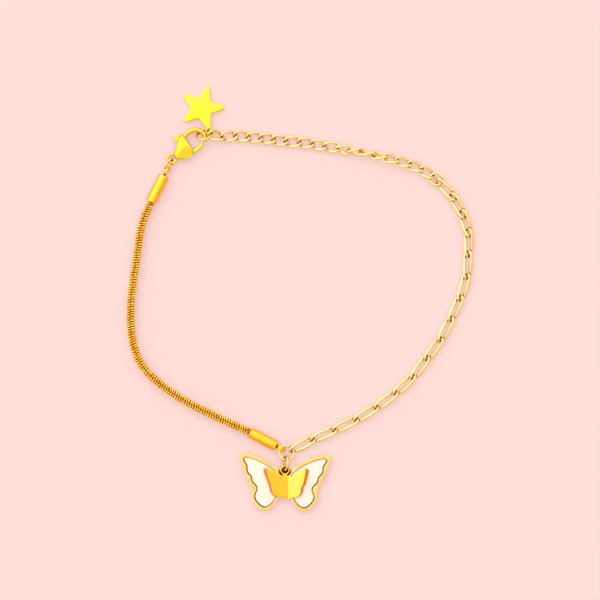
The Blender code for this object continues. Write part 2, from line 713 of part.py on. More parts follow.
def main():
    clear_scene()
    gold = material("gold", (0.95, 0.62, 0.16), 0.18, 1.0)
    pale = material("pale_gold", (0.98, 0.76, 0.32), 0.22, 1.0)
    lemon = material("lemon_gold", (1.0, 0.82, 0.10), 0.25, 1.0)
    rich = material("rich_gold", (0.90, 0.55, 0.10), 0.28, 1.0)
    pearl = material("mother_of_pearl", (0.96, 0.93, 0.84), 0.22, 0.0)

    mouth = Vector((*ROPE_ROUTE[0], CAP_Z))
    upper = cap("cap_upper", mouth, UPPER_CAP_BEARING, UPPER_LOOP_WIDTH, gold)
    mouth = Vector((*ROPE_ROUTE[-1], CAP_Z))
    lower = cap("cap_lower", mouth, LOWER_CAP_BEARING, LOWER_LOOP_WIDTH, gold)
    popcorn_chain(rich)
    clasp(gold, gold)
    clasp_link(upper, pale)

    # The end ring, rolled about its own axis, holds the hook, the star's loop and the first link
    end_mean = (END_RING_DIAMETER - END_RING_WIRE) / 2
    end_axis = polar(END_RING_BEARING)
    end_z = end_mean * math.sin(math.radians(abs(END_RING_ROLL))) + END_RING_WIRE / 2 + FOOT
    end_centre = Vector((*END_RING_LEFT, end_z)) + end_axis * end_mean
    end_place = Matrix.Translation(end_centre)
    end_place = end_place @ Matrix.Rotation(math.radians(END_RING_BEARING), 4, "Z")
    end_place = end_place @ Matrix.Rotation(math.radians(END_RING_ROLL), 4, "X")
    ring("end_ring", END_RING_DIAMETER, END_RING_WIRE, pale, end_place)
    star(end_place @ (polar(STAR_LOOP_TURN) * end_mean), lemon)

    # The extender chain starts inside the end ring and ends on the extender ring
    joints = [Vector((x, y, 0)) for x, y in SHORT_ROUTE]
    grip = reach(END_RING_DIAMETER, END_RING_WIRE, SHORT_WIRE)
    joints = [end_place @ (polar(FIRST_LINK_TURN) * grip)] + joints
    length = SHORT_PITCH + SHORT_WIRE + LINK_GAP
    width = SHORT_WIDTH - SHORT_WIRE
    joints[-1].z = link_height(length, width, SHORT_WIRE, SHORT_TWIST, SHORT_ROLL[-1])
    sizes = (SHORT_PITCH, SHORT_WIDTH, SHORT_WIRE, SHORT_TWIST)
    chain("extender_link", joints, sizes, SHORT_ROLL, pale)

    into = (joints[-1] - joints[-2]).normalized()
    into.z = 0
    ring_centre = joints[-1] + into * reach(EXTENDER_RING_DIAMETER, RING_WIRE, SHORT_WIRE)
    ring_place = Matrix.Translation(ring_centre)
    ring("extender_ring", EXTENDER_RING_DIAMETER, RING_WIRE, pale, ring_place)

    # The centre ring passes through the lower cap's loop
    centre_mean = (CENTRE_RING_DIAMETER - RING_WIRE) / 2
    toward = polar(CENTRE_RING_BEARING)
    drop = math.sin(math.radians(CENTRE_RING_TILT)) * centre_mean
    centre = lower + toward * (centre_mean + FIT_GAP / 2) - Vector((0, 0, drop))
    hinge_line = toward.cross(Vector((0, 0, -1)))
    tilted = Matrix.Rotation(math.radians(CENTRE_RING_TILT), 4, hinge_line)
    centre_place = Matrix.Translation(centre) @ tilted
    ring("centre_ring", CENTRE_RING_DIAMETER, RING_WIRE, pale, centre_place)

    # The long-link chain runs from the extender ring to the centre ring
    joints = [Vector((x, y, 0)) for x, y in LONG_ROUTE]
    start = (joints[0] - Vector((ring_centre.x, ring_centre.y, 0))).normalized()
    end = (joints[-1] - Vector((centre.x, centre.y, 0))).normalized()
    first = ring_centre + start * reach(EXTENDER_RING_DIAMETER, RING_WIRE, LONG_WIRE)
    last = centre + end * reach(CENTRE_RING_DIAMETER, RING_WIRE, LONG_WIRE)
    joints = [first] + joints + [last]
    sizes = (LONG_PITCH, LONG_WIDTH, LONG_WIRE, LONG_TWIST)
    chain("paperclip_link", joints, sizes, LONG_ROLL, pale)

    # The pendant ring hangs on the centre ring and carries the butterfly's eyelet
    hang = polar(PENDANT_RING_BEARING)
    grip = reach(CENTRE_RING_DIAMETER, RING_WIRE, PENDANT_RING_WIRE)
    grip -= ((RING_WIRE + PENDANT_RING_WIRE) / 2 + LINK_GAP + FIT_GAP) / 2
    top = centre + hang * grip
    top.z = centre.z
    length = PENDANT_RING_LENGTH - PENDANT_RING_WIRE
    width = PENDANT_RING_WIDTH - PENDANT_RING_WIRE
    bottom = top + hang * length
    bottom.z = EYELET_Z
    oval = [Vector((length * p.x, width * p.y, 0)) for p in circle(0.5, ROUND)]
    points, faces = tube(oval, PENDANT_RING_WIRE / 2, SIDES, True)
    place = frame_along(top, bottom) @ Matrix.Rotation(math.radians(PENDANT_RING_ROLL), 4, "X")
    add("pendant_ring", mesh_of(points, faces, "pendant_ring"), pale, place)
    butterfly(bottom, gold, pearl)
    centre_on_origin()


main()
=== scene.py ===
"""Looks of a charm bracelet that lies flat and fastened.

A popcorn chain with end caps and a long-link curb chain meet at a ring that carries a butterfly
pendant. A lobster clasp holds the ring at the end of an extender chain, with a star tag beside it.
Lengths are in millimetres in the shared frame, and become metres when a piece is made.
"""

import logging
import math
from collections.abc import Callable
from dataclasses import dataclass, field
from enum import Enum

import bmesh
import bpy
import numpy as np
from mathutils import Matrix, Vector
from mathutils.geometry import delaunay_2d_cdt


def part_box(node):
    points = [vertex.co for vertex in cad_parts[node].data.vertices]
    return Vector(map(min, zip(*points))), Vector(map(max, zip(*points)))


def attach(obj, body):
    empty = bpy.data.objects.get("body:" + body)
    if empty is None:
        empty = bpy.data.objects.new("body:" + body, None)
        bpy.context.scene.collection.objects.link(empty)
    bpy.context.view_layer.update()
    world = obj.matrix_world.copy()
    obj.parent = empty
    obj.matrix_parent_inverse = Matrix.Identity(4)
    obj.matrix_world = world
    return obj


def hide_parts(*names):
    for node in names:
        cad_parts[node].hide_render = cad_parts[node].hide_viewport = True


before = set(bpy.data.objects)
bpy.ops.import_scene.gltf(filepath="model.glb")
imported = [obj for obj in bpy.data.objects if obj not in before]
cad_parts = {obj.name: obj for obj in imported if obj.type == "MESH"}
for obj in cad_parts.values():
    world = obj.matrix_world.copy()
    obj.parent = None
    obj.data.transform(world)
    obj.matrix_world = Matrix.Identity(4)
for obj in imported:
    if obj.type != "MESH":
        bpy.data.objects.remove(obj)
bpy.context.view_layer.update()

LOG = logging.getLogger("bracelet")
MM = 0.001
UP = Vector((0, 0, 1))
SQUARE = ((-1, -1), (1, -1), (1, 1), (-1, 1))
# What the triangulation keeps, the faces inside the outline, and the distance that counts as none
CDT_INSIDE, CDT_NEAR = 1, 1e-6
# From the drawing's zero, the photograph's middle, to the middle of the whole
MIDDLE = Vector((-0.145, -0.208, -0.010))

Colour = tuple[float, float, float]
Span = tuple[float, float]
Table = tuple[tuple[float, float], ...]
Profile = list[tuple[float, float]]
Outline = list[Vector]
Faces = list[tuple[int, ...]]
Mesh = tuple[list[Vector], Faces]
Surface = Callable[[float, Vector], float]
Feeds = dict[str | int, object]


class Body(Enum):
    """The two rigid bodies that pieces ride on."""

    BRACELET = "bracelet"
    LEVER = "lever"


class Slot(Enum):
    """The record's material slots."""

    GOLD = "gold"
    PALE = "pale_gold"
    LEMON = "lemon_gold"
    RICH = "rich_gold"
    SHELL = "mother_of_pearl"


# Shader groups and finishes
@dataclass
class Wiring:
    """A node tree with short ways to add nodes and links.

    Args:
        tree: The tree that the nodes go into.
    """

    tree: bpy.types.NodeTree

    def feed(self, node: bpy.types.Node, feeds: Feeds) -> None:
        """Links or sets a node's inputs.

        Args:
            node: The node.
            feeds: What goes into its inputs, by their names or numbers.
        """
        for name, value in feeds.items():
            socket = node.inputs[name]
            if isinstance(value, bpy.types.NodeSocket):
                self.tree.links.new(value, socket)
            else:
                socket.default_value = (*value, 1.0) if socket.type == "RGBA" else value

    def node(self, kind: str, feeds: Feeds | None = None, **settings: object) -> bpy.types.Node:
        """Adds a node.

        Args:
            kind: The node's type name, without the word ShaderNode.
            feeds: What goes into its inputs, by their names or numbers.
            settings: Properties to set on it.

        Returns:
            The new node.
        """
        made = self.tree.nodes.new(f"ShaderNode{kind}")
        for name, value in settings.items():
            setattr(made, name, value)
        self.feed(made, feeds or {})
        return made

    def sum_of(self, operation: str, *values: object) -> bpy.types.NodeSocket:
        """Adds a Math node.

        Args:
            operation: The node's operation.
            values: Its inputs, as outputs of other nodes or numbers.

        Returns:
            The node's output.
        """
        return self.node("Math", dict(enumerate(values)), operation=operation).outputs[0]

    def blend(self, share: object, first: object, second: object) -> bpy.types.NodeSocket:
        """Adds a colour Mix node.

        Args:
            share: How much of the second colour, as an output or a number.
            first: The first colour, as an output or three numbers.
            second: The second colour, as an output or three numbers.

        Returns:
            The mixed colour's output.
        """
        # Several of its inputs share a name, so they go by number
        feeds = {0: share, 6: first, 7: second}
        return self.node("Mix", feeds, data_type="RGBA").outputs[2]

    def between(
        self, value: bpy.types.NodeSocket, span: Span, low: object = 0.0, high: object = 1.0
    ) -> bpy.types.NodeSocket:
        """Adds a Map Range node with a soft step.

        Args:
            value: The value to map.
            span: The values that give the first and the second result.
            low: The first result, as an output or a number.
            high: The second result, as an output or a number.

        Returns:
            The mapped value's output.
        """
        start, end = span
        feeds = {"Value": value, "From Min": start, "From Max": end, "To Min": low, "To Max": high}
        return self.node("MapRange", feeds, interpolation_type="SMOOTHSTEP").outputs["Result"]

    def cloud(self, scale: object, detail: float = 2.0, twist: float = 0.0) -> bpy.types.NodeSocket:
        """Adds noise that stays with the piece.

        Args:
            scale: How fine it is, in waves to a metre.
            detail: How many finer layers it has.
            twist: How distorted it is.

        Returns:
            The noise's output.
        """
        place = self.node("TexCoord").outputs["Object"]
        feeds = {"Vector": place, "Scale": scale, "Detail": detail, "Distortion": twist}
        return self.node("TexNoise", feeds).outputs["Fac"]

    def bump(
        self, height: bpy.types.NodeSocket, strength: float, depth_mm: float
    ) -> bpy.types.NodeSocket:
        """Adds a Bump node.

        Args:
            height: The relief's height, from 0 to 1.
            strength: How strongly it shows.
            depth_mm: Its depth.

        Returns:
            The normal's output.
        """
        feeds = {"Height": height, "Strength": strength, "Distance": depth_mm * MM}
        return self.node("Bump", feeds).outputs["Normal"]


@dataclass
class Effects:
    """The shader groups that several finishes share, each built once.

    Args:
        built: The groups so far, by name.
        wander: Span of the noise in which the bright tone wanders.
        upright: How far up a level surface faces, and a side, for the painted shade on the sides.
        warm_span: Span of the crevice value in which the warm painted shade comes.
        deep_span: Span of the crevice value in which the deep painted shade comes.
        rub_turn: Turn of the rubbing marks about X, Y and Z.
        rub_stretch: Their stretch along X, Y and Z.
        rub_detail: How many finer layers they have.
        rub_share: Their share in the wear; a haze is the rest.
        haze: How fine the haze is, in waves to a metre.
        wear_span: Span of the wear from smooth to rubbed.
    """

    built: dict[str, bpy.types.NodeTree] = field(default_factory=dict)
    wander: Span = (0.4, 0.6)
    upright: Span = (0.96, 0.30)
    warm_span: Span = (0.12, 0.55)
    deep_span: Span = (0.5, 0.95)
    rub_turn: Colour = (0.2, 0.3, 0.9)
    rub_stretch: Colour = (1.0, 7.0, 1.0)
    rub_detail: float = 4.0
    rub_share: float = 0.6
    haze: float = 900.0
    wear_span: Span = (0.3, 0.7)

    def start(
        self, name: str, inputs: dict[str, str], outputs: dict[str, str]
    ) -> tuple[Wiring, bpy.types.Node, bpy.types.Node]:
        """Starts a group with named sockets.

        Args:
            name: The group's name.
            inputs: Kinds (Color or Float) of its inputs, by name.
            outputs: Kinds of its outputs, by name.

        Returns:
            The group's wiring, its input node and its output node.
        """
        tree = bpy.data.node_groups.new(name, "ShaderNodeTree")
        for way, sockets in (("INPUT", inputs), ("OUTPUT", outputs)):
            for title, kind in sockets.items():
                tree.interface.new_socket(title, in_out=way, socket_type=f"NodeSocket{kind}")
        self.built[name] = tree
        return Wiring(tree), tree.nodes.new("NodeGroupInput"), tree.nodes.new("NodeGroupOutput")

    def crevice_shade(self) -> bpy.types.NodeTree:
        """Gilding with painted shade, from a bright tone through a warm one to a deep one in the
        crevices.

        Returns:
            The group, with the outputs Color and Crevice, the mask of the painted shade.
        """
        if "crevice_shade" in self.built:
            return self.built["crevice_shade"]
        tones = dict.fromkeys(("Bright", "Warm", "Deep"), "Color")
        amounts = dict.fromkeys(("Reach", "Strength", "Drift", "Cloud", "SideShade"), "Float")
        wiring, inlet, out = self.start(
            "crevice_shade", tones | amounts, {"Color": "Color", "Crevice": "Float"}
        )
        given = inlet.outputs
        # Painted shade: ambient occlusion finds the crevices, which turn warm and then deep
        near = wiring.node("AmbientOcclusion", {"Distance": given["Reach"]}, samples=16)
        hidden = wiring.sum_of("SUBTRACT", 1.0, near.outputs["AO"])
        crevice = wiring.sum_of("MULTIPLY", hidden, given["Strength"])
        drift = wiring.between(wiring.cloud(given["Cloud"]), self.wander, 0.0, given["Drift"])
        # Painted shade: surfaces that face sideways turn warm too
        normal = wiring.node("NewGeometry").outputs["Normal"]
        parts = wiring.node("SeparateXYZ", {"Vector": normal})
        facing_up = wiring.sum_of("ABSOLUTE", parts.outputs["Z"])
        sides = wiring.between(facing_up, self.upright, 0.0, given["SideShade"])
        tone = wiring.blend(wiring.sum_of("MAXIMUM", drift, sides), given["Bright"], given["Warm"])
        tone = wiring.blend(wiring.between(crevice, self.warm_span), tone, given["Warm"])
        tone = wiring.blend(wiring.between(crevice, self.deep_span), tone, given["Deep"])
        wiring.feed(out, {"Color": tone, "Crevice": crevice})
        return self.built["crevice_shade"]

    def polish_marks(self) -> bpy.types.NodeTree:
        """Fine rubbing marks and a slight haze on polished metal.

        Returns:
            The group, with the outputs Roughness and Height.
        """
        if "polish_marks" in self.built:
            return self.built["polish_marks"]
        inputs = dict.fromkeys(("Marks", "Smooth", "Rubbed"), "Float")
        outputs = dict.fromkeys(("Roughness", "Height"), "Float")
        wiring, inlet, out = self.start("polish_marks", inputs, outputs)
        given = inlet.outputs
        place = wiring.node("TexCoord").outputs["Object"]
        turned_by = {"Vector": place, "Rotation": self.rub_turn, "Scale": self.rub_stretch}
        stretched = wiring.node("Mapping", turned_by).outputs["Vector"]
        fine = {"Vector": stretched, "Scale": given["Marks"], "Detail": self.rub_detail}
        marks = wiring.node("TexNoise", fine).outputs["Fac"]
        wear = wiring.sum_of(
            "ADD",
            wiring.sum_of("MULTIPLY", marks, self.rub_share),
            wiring.sum_of("MULTIPLY", wiring.cloud(self.haze), 1 - self.rub_share),
        )
        rough = wiring.between(wear, self.wear_span, given["Smooth"], given["Rubbed"])
        wiring.feed(out, {"Roughness": rough, "Height": wear})
        return self.built["polish_marks"]


EFFECTS = Effects()


def principled(name: str) -> tuple[Wiring, bpy.types.Node]:
    """Makes a material with its Principled shader.

    Args:
        name: The material's name.

    Returns:
        The material's wiring and the shader's node.
    """
    made = bpy.data.materials.new(name)
    made.use_nodes = True
    return Wiring(made.node_tree), made.node_tree.nodes["Principled BSDF"]


@dataclass(frozen=True)
class Gilding:
    """A gold-plated finish.

    Args:
        name: The material's name.
        slot: The record's slot that it stands for. Not used.
        bright: Colour of the open surface.
        warm: Colour of the painted shade near other metal and on surfaces that face sideways, and
            of the patches that the bright tone wanders to.
        deep: Colour of the painted shade deep in a crevice.
        reach_mm: How far the painted shade of a crevice reaches.
        strength: How strongly it darkens.
        drift: How much the bright tone wanders to the warm one.
        cloud_mm: Size of the patches in which it wanders.
        sides: How much the surfaces that face sideways take the warm colour, as painted shade.
        smooth: Roughness where it's polished.
        rubbed: Roughness where it's rubbed.
        marks_mm: Size of the rubbing marks.
        relief: How strongly the marks show as relief.
        relief_mm: Depth of the marks.
        metal: How metallic it looks.
    """

    name: str
    slot: Slot
    bright: Colour
    warm: Colour
    deep: Colour
    reach_mm: float = 0.7
    strength: float = 1.0
    drift: float = 0.15
    cloud_mm: float = 2.4
    sides: float = 0.7
    smooth: float = 0.12
    rubbed: float = 0.26
    marks_mm: float = 0.35
    relief: float = 0.5
    relief_mm: float = 0.004
    metal: float = 1.0

    def material(self) -> bpy.types.Material:
        """Builds the finish, or returns it if it's there.

        Returns:
            The material.
        """
        if self.name in bpy.data.materials:
            return bpy.data.materials[self.name]
        wiring, shader = principled(self.name)
        tones = {
            "Bright": self.bright, "Warm": self.warm, "Deep": self.deep,
            "Reach": self.reach_mm * MM, "Strength": self.strength, "Drift": self.drift,
            "Cloud": 1 / (self.cloud_mm * MM), "SideShade": self.sides,
        }
        tone = wiring.node("Group", tones, node_tree=EFFECTS.crevice_shade())
        wear = {"Marks": 1 / (self.marks_mm * MM), "Smooth": self.smooth, "Rubbed": self.rubbed}
        marks = wiring.node("Group", wear, node_tree=EFFECTS.polish_marks())
        wiring.feed(shader, {
            "Base Color": tone.outputs["Color"],
            "Roughness": marks.outputs["Roughness"],
            "Normal": wiring.bump(marks.outputs["Height"], self.relief, self.relief_mm),
            "Metallic": self.metal,
        })
        return bpy.data.materials[self.name]


@dataclass(frozen=True)
class Nacre:
    """Mother-of-pearl with faint clouds of rose and green.

    Args:
        name: The material's name.
        slot: The record's slot that it stands for. Not used.
        pale: Main colour.
        rose: Colour of some clouds.
        green: Colour of the others.
        edge_warm: Colour of the painted shade near the frame.
        edge_deep: Colour of the painted shade right against it.
        edge_mm: How far that colour reaches.
        edge_strength: How strongly it shows.
        cloud_mm: Size of the clouds.
        cloud_twist: How distorted the clouds are.
        rose_span: Span of the noise in which rose comes.
        green_span: Span of the noise in which green comes.
        layers: Growth layers to the size of a cloud.
        layer_twist: How wavy the layers are.
        layer_share: How much they lighten.
        detail: How many finer layers the noise has.
        relief: How strongly the layers show as relief.
        relief_mm: Depth of the layers.
        rough: Roughness under the polish.
        coat: How strong the polish is.
        coat_rough: Roughness of the polish.
    """

    name: str
    slot: Slot
    pale: Colour
    rose: Colour
    green: Colour
    edge_warm: Colour = (0.90, 0.66, 0.38)
    edge_deep: Colour = (0.50, 0.17, 0.03)
    edge_mm: float = 0.30
    edge_strength: float = 0.7
    cloud_mm: float = 3.2
    cloud_twist: float = 1.2
    rose_span: Span = (0.5, 0.72)
    green_span: Span = (0.46, 0.3)
    layers: float = 0.35
    layer_twist: float = 6.0
    layer_share: float = 0.35
    detail: float = 3.0
    relief: float = 0.25
    relief_mm: float = 0.02
    rough: float = 0.16
    coat: float = 0.6
    coat_rough: float = 0.06

    def material(self) -> bpy.types.Material:
        """Builds the finish, or returns it if it's there.

        Returns:
            The material.
        """
        if self.name in bpy.data.materials:
            return bpy.data.materials[self.name]
        wiring, shader = principled(self.name)
        clouds = wiring.cloud(1 / (self.cloud_mm * MM), self.detail, self.cloud_twist)
        growth = {
            "Vector": wiring.node("TexCoord").outputs["Object"],
            "Scale": self.layers / (self.cloud_mm * MM),
            "Distortion": self.layer_twist,
            "Detail": self.detail,
        }
        bands = {"wave_type": "BANDS", "bands_direction": "DIAGONAL"}
        layers = wiring.node("TexWave", growth, **bands).outputs["Fac"]
        tone = wiring.blend(wiring.between(clouds, self.rose_span), self.pale, self.rose)
        tone = wiring.blend(wiring.between(clouds, self.green_span), tone, self.green)
        tone = wiring.blend(wiring.sum_of("MULTIPLY", layers, self.layer_share), tone, self.pale)
        # Painted shade: the shell darkens towards the frame, found by ambient occlusion
        edge = {
            "Bright": tone, "Warm": self.edge_warm, "Deep": self.edge_deep,
            "Reach": self.edge_mm * MM, "Strength": self.edge_strength, "Drift": 0.0, "SideShade": 0.0,
        }
        edged = wiring.node("Group", edge, node_tree=EFFECTS.crevice_shade())
        wiring.feed(shader, {
            "Base Color": edged.outputs["Color"],
            "Normal": wiring.bump(layers, self.relief, self.relief_mm),
            "Roughness": self.rough,
            "Coat Weight": self.coat,
            "Coat Roughness": self.coat_rough,
        })
        return bpy.data.materials[self.name]


Finish = Gilding | Nacre

POLISHED_GOLD = Gilding(
    "polished_gold", Slot.GOLD, (1.0, 0.69, 0.04), (0.97, 0.40, 0.02), (0.12, 0.012, 0.003),
    reach_mm=0.7, strength=1.1, smooth=0.2, rubbed=0.3, metal=0.8,
)
LINK_GOLD = Gilding(
    "link_gold", Slot.PALE, (1.0, 0.89, 0.36), (0.98, 0.50, 0.06), (0.42, 0.09, 0.008),
    drift=0.08, sides=0.55, metal=0.92, reach_mm=0.5, strength=2.5, smooth=0.16, rubbed=0.28,
)
# Painted shade reaches further on these rings, so they look dark inside the holes they pass through
SHADED_GOLD = Gilding(
    "shaded_ring_gold", Slot.PALE, (1.0, 0.80, 0.24), (0.90, 0.34, 0.02), (0.20, 0.03, 0.004),
    reach_mm=1.2, strength=1.4, smooth=0.16, rubbed=0.28, metal=0.92,
)
ROPE_GOLD = Gilding(
    "rope_gold", Slot.RICH, (1.0, 0.84, 0.13), (0.95, 0.38, 0.012), (0.28, 0.035, 0.003),
    drift=0.7, cloud_mm=0.7, sides=0.1, reach_mm=0.3, strength=1.6, smooth=0.14,
    rubbed=0.26, metal=0.55,
)
# Painted shade: the core is a darker copy of the lobes' gold, so the gaps between lobes look shaded
ROPE_CORE_SHADE_GOLD = Gilding(
    "rope_core_gold", Slot.RICH, (0.62, 0.15, 0.01), (0.40, 0.06, 0.006), (0.14, 0.015, 0.002),
    reach_mm=0.4, strength=1.2, smooth=0.3, rubbed=0.45,
)
# Painted shade: its sideways surfaces take the warm tone in full
CLASP_GOLD = Gilding(
    "clasp_gold", Slot.GOLD, (1.0, 0.80, 0.05), (0.95, 0.42, 0.02), (0.13, 0.012, 0.003),
    sides=1.0, reach_mm=0.9, strength=1.35, smooth=0.16, rubbed=0.28,
)
STAR_GOLD = Gilding(
    "star_gold", Slot.LEMON, (1.0, 0.86, 0.05), (0.93, 0.50, 0.03), (0.20, 0.05, 0.01),
    reach_mm=0.5, strength=0.8, drift=0.06, smooth=0.24, rubbed=0.36,
)
# Painted shade on the left wing and painted light on the right: two copies of one gold for how each
# tilted wing reflects the light
WING_SHADE_GOLD = Gilding(
    "wing_gold", Slot.GOLD, (1.0, 0.60, 0.05), (0.90, 0.34, 0.03), (0.14, 0.02, 0.005),
    reach_mm=0.6, strength=0.8, drift=0.08, smooth=0.22, rubbed=0.34,
)
WING_LIT_GOLD = Gilding(
    "pale_wing_gold", Slot.GOLD, (1.0, 0.78, 0.12), (0.93, 0.42, 0.04), (0.16, 0.03, 0.005),
    reach_mm=0.6, strength=0.8, drift=0.06, smooth=0.22, rubbed=0.34,
)
# Painted shade: the wings' steep sides are a darker, warmer copy of the gold
BAND_SHADE_GOLD = Gilding(
    "band_gold", Slot.GOLD, (0.95, 0.40, 0.06), (0.80, 0.24, 0.02), (0.10, 0.015, 0.004),
    reach_mm=0.5, strength=0.9, smooth=0.24, rubbed=0.36,
)
# Painted shade: nearly black gold on the well round the eyelet and on the lug under it
WELL_SHADE_GOLD = Gilding(
    "well_gold", Slot.GOLD, (0.16, 0.035, 0.006), (0.10, 0.02, 0.004), (0.03, 0.006, 0.002),
    reach_mm=0.8, strength=1.2, smooth=0.4, rubbed=0.55,
)
# Painted shade: dark gold on the walls and floor of the inlay pockets, for the groove round the
# shells
GROOVE_SHADE_GOLD = Gilding(
    "groove_gold", Slot.GOLD, (0.62, 0.20, 0.02), (0.40, 0.08, 0.008), (0.16, 0.02, 0.003),
    reach_mm=0.5, strength=1.2, smooth=0.35, rubbed=0.5,
)
RIM_GOLD = Gilding(
    "rim_gold", Slot.GOLD, (1.0, 0.68, 0.20), (0.88, 0.38, 0.06), (0.12, 0.02, 0.005),
    reach_mm=0.4, strength=0.8, smooth=0.16, rubbed=0.3,
)
SHELL = Nacre(
    "shell_nacre", Slot.SHELL, (0.92, 0.89, 0.78), (0.90, 0.76, 0.77), (0.82, 0.88, 0.66)
)


# Meshes
@dataclass
class Form:
    """Points and faces gathered in millimetres, before they become one piece.

    Args:
        points: The points so far.
        faces: The faces so far, as numbers of their points.
    """

    points: list[Vector] = field(default_factory=list)
    faces: Faces = field(default_factory=list)

    def add(self, mesh: Mesh, place: Matrix | None = None) -> None:
        """Adds points and faces.

        Args:
            mesh: The points and faces.
            place: Their placement, if they aren't in place.
        """
        first = len(self.points)
        self.points += [place @ p for p in mesh[0]] if place else list(mesh[0])
        self.faces += [tuple(first + i for i in face) for face in mesh[1]]

    def data(self, name: str, crease: float = 40.0) -> bpy.types.Mesh:
        """Makes a Blender mesh, smooth except at creases.

        Args:
            name: The mesh's name.
            crease: Angle in degrees past which an edge is sharp.

        Returns:
            The mesh, in metres.
        """
        made = bpy.data.meshes.new(name)
        made.from_pydata([tuple(p * MM) for p in self.points], [], self.faces)
        shape = bmesh.new()
        shape.from_mesh(made)
        bmesh.ops.recalc_face_normals(shape, faces=shape.faces)
        shape.to_mesh(made)
        shape.free()
        smooth(made, crease)
        return made

    def object(self, name: str, finish: Finish, crease: float = 40.0) -> bpy.types.Object:
        """Makes an object with one finish.

        Args:
            name: The object's name.
            finish: Its finish.
            crease: Angle in degrees past which an edge is sharp.

        Returns:
            The object, linked to the scene.
        """
        made = linked(name, self.data(name, crease))
        made.data.materials.append(finish.material())
        return made

    def piece(self, name: str, finish: Finish, node: str, crease: float = 40.0) -> None:
        """Makes an object that stands for a CAD node of the bracelet.

        Args:
            name: The object's name.
            finish: Its finish.
            node: The CAD node's name.
            crease: Angle in degrees past which an edge is sharp.
        """
        settle(self.object(name, finish, crease), node)


def linked(name: str, data: bpy.types.ID) -> bpy.types.Object:
    """Makes an object and puts it in the scene.

    Args:
        name: The object's name.
        data: Its mesh, light or camera.

    Returns:
        The object.
    """
    made = bpy.data.objects.new(name, data)
    bpy.context.scene.collection.objects.link(made)
    return made


def smooth(mesh: bpy.types.Mesh, crease: float) -> None:
    """Shades a mesh smooth, with sharp edges past an angle in degrees."""
    mesh.shade_smooth()
    mesh.set_sharp_from_angle(angle=math.radians(crease))


def settle(
    piece: bpy.types.Object, node: str, body: Body = Body.BRACELET
) -> None:
    """Lets a piece ride on its body and stand for a CAD node.

    Args:
        piece: The piece.
        node: Name of the CAD node that it replaces.
        body: The body that it rides on.
    """
    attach(piece, body.value)
    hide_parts(node)
    LOG.info("%s: %d faces, rides on %s", piece.name, len(piece.data.polygons), body.value)


def polar(degrees: float) -> Vector:
    """The level direction at a bearing, counter-clockwise from +X."""
    return Vector((math.cos(math.radians(degrees)), math.sin(math.radians(degrees)), 0))


def circle(radius: float, count: int, height: float = 0.0) -> list[Vector]:
    """Points round a level circle about the origin."""
    return [polar(360 * i / count) * radius + Vector((0, 0, height)) for i in range(count)]


def flat(table: Table, along: float = 1.0, across: float = 1.0) -> Outline:
    """A table of X and Y as level points, each way times its scale."""
    return [Vector((x * along, y * across, 0)) for x, y in table]


def turned_about(axis: str, degrees: float) -> Matrix:
    """A turn about X, Y or Z."""
    return Matrix.Rotation(math.radians(degrees), 4, axis)


def facing(x: Vector, y: Vector, z: Vector) -> Matrix:
    """A turn that lays the axes along three directions."""
    return Matrix((x, y, z)).transposed().to_4x4()


def length_of(path: list[Vector]) -> float:
    """Length of a path."""
    return sum((b - a).length for a, b in zip(path, path[1:]))


def spline(points: list[Vector], steps: int, closed: bool = False) -> list[Vector]:
    """A smooth run through points.

    Args:
        points: The points that it passes.
        steps: Steps between two points.
        closed: Whether it comes round to its start.

    Returns:
        The run's points.
    """
    if closed:
        run = [points[-1]] + points + points[:2]
    else:
        run = [2 * points[0] - points[1]] + points + [2 * points[-1] - points[-2]]
    out = []
    for i in range(1, len(run) - 2):
        for s in range(steps):
            t = s / steps
            out.append(0.5 * (
                2 * run[i]
                + (run[i + 1] - run[i - 1]) * t
                + (2 * run[i - 1] - 5 * run[i] + 4 * run[i + 1] - run[i + 2]) * t * t
                + (3 * run[i] - 3 * run[i + 1] + run[i + 2] - run[i - 1]) * t ** 3
            ))
    return out if closed else out + [points[-1].copy()]


def evenly(path: list[Vector], count: int) -> list[Vector]:
    """Points at even spacing along a path.

    Args:
        path: The path.
        count: How many points, both ends included.

    Returns:
        The points.
    """
    lengths = [0.0]
    for a, b in zip(path, path[1:]):
        lengths.append(lengths[-1] + (b - a).length)
    out = []
    at = 0
    for i in range(count):
        want = lengths[-1] * i / (count - 1)
        while at < len(path) - 2 and lengths[at + 1] < want:
            at += 1
        share = (want - lengths[at]) / max(1e-9, lengths[at + 1] - lengths[at])
        out.append(path[at].lerp(path[at + 1], min(1.0, max(0.0, share))))
    return out


def evenly_closed(path: list[Vector], step: float) -> list[Vector]:
    """Points at about even spacing round a closed path.

    Args:
        path: The path, without its start again at the end.
        step: About the spacing.

    Returns:
        The points.
    """
    loop = path + [path[0].copy()]
    return evenly(loop, max(12, round(length_of(loop) / step)) + 1)[:-1]


def bands(rows: int, count: int, closed: bool = False) -> Faces:
    """Four-sided faces between rows of points that come round to their starts.

    Args:
        rows: How many rows.
        count: Points in a row.
        closed: Whether the last row joins the first.

    Returns:
        The faces.
    """
    faces = []
    for r in range(rows if closed else rows - 1):
        s = (r + 1) % rows
        for k in range(count):
            n = (k + 1) % count
            faces.append((r * count + k, r * count + n, s * count + n, s * count + k))
    return faces


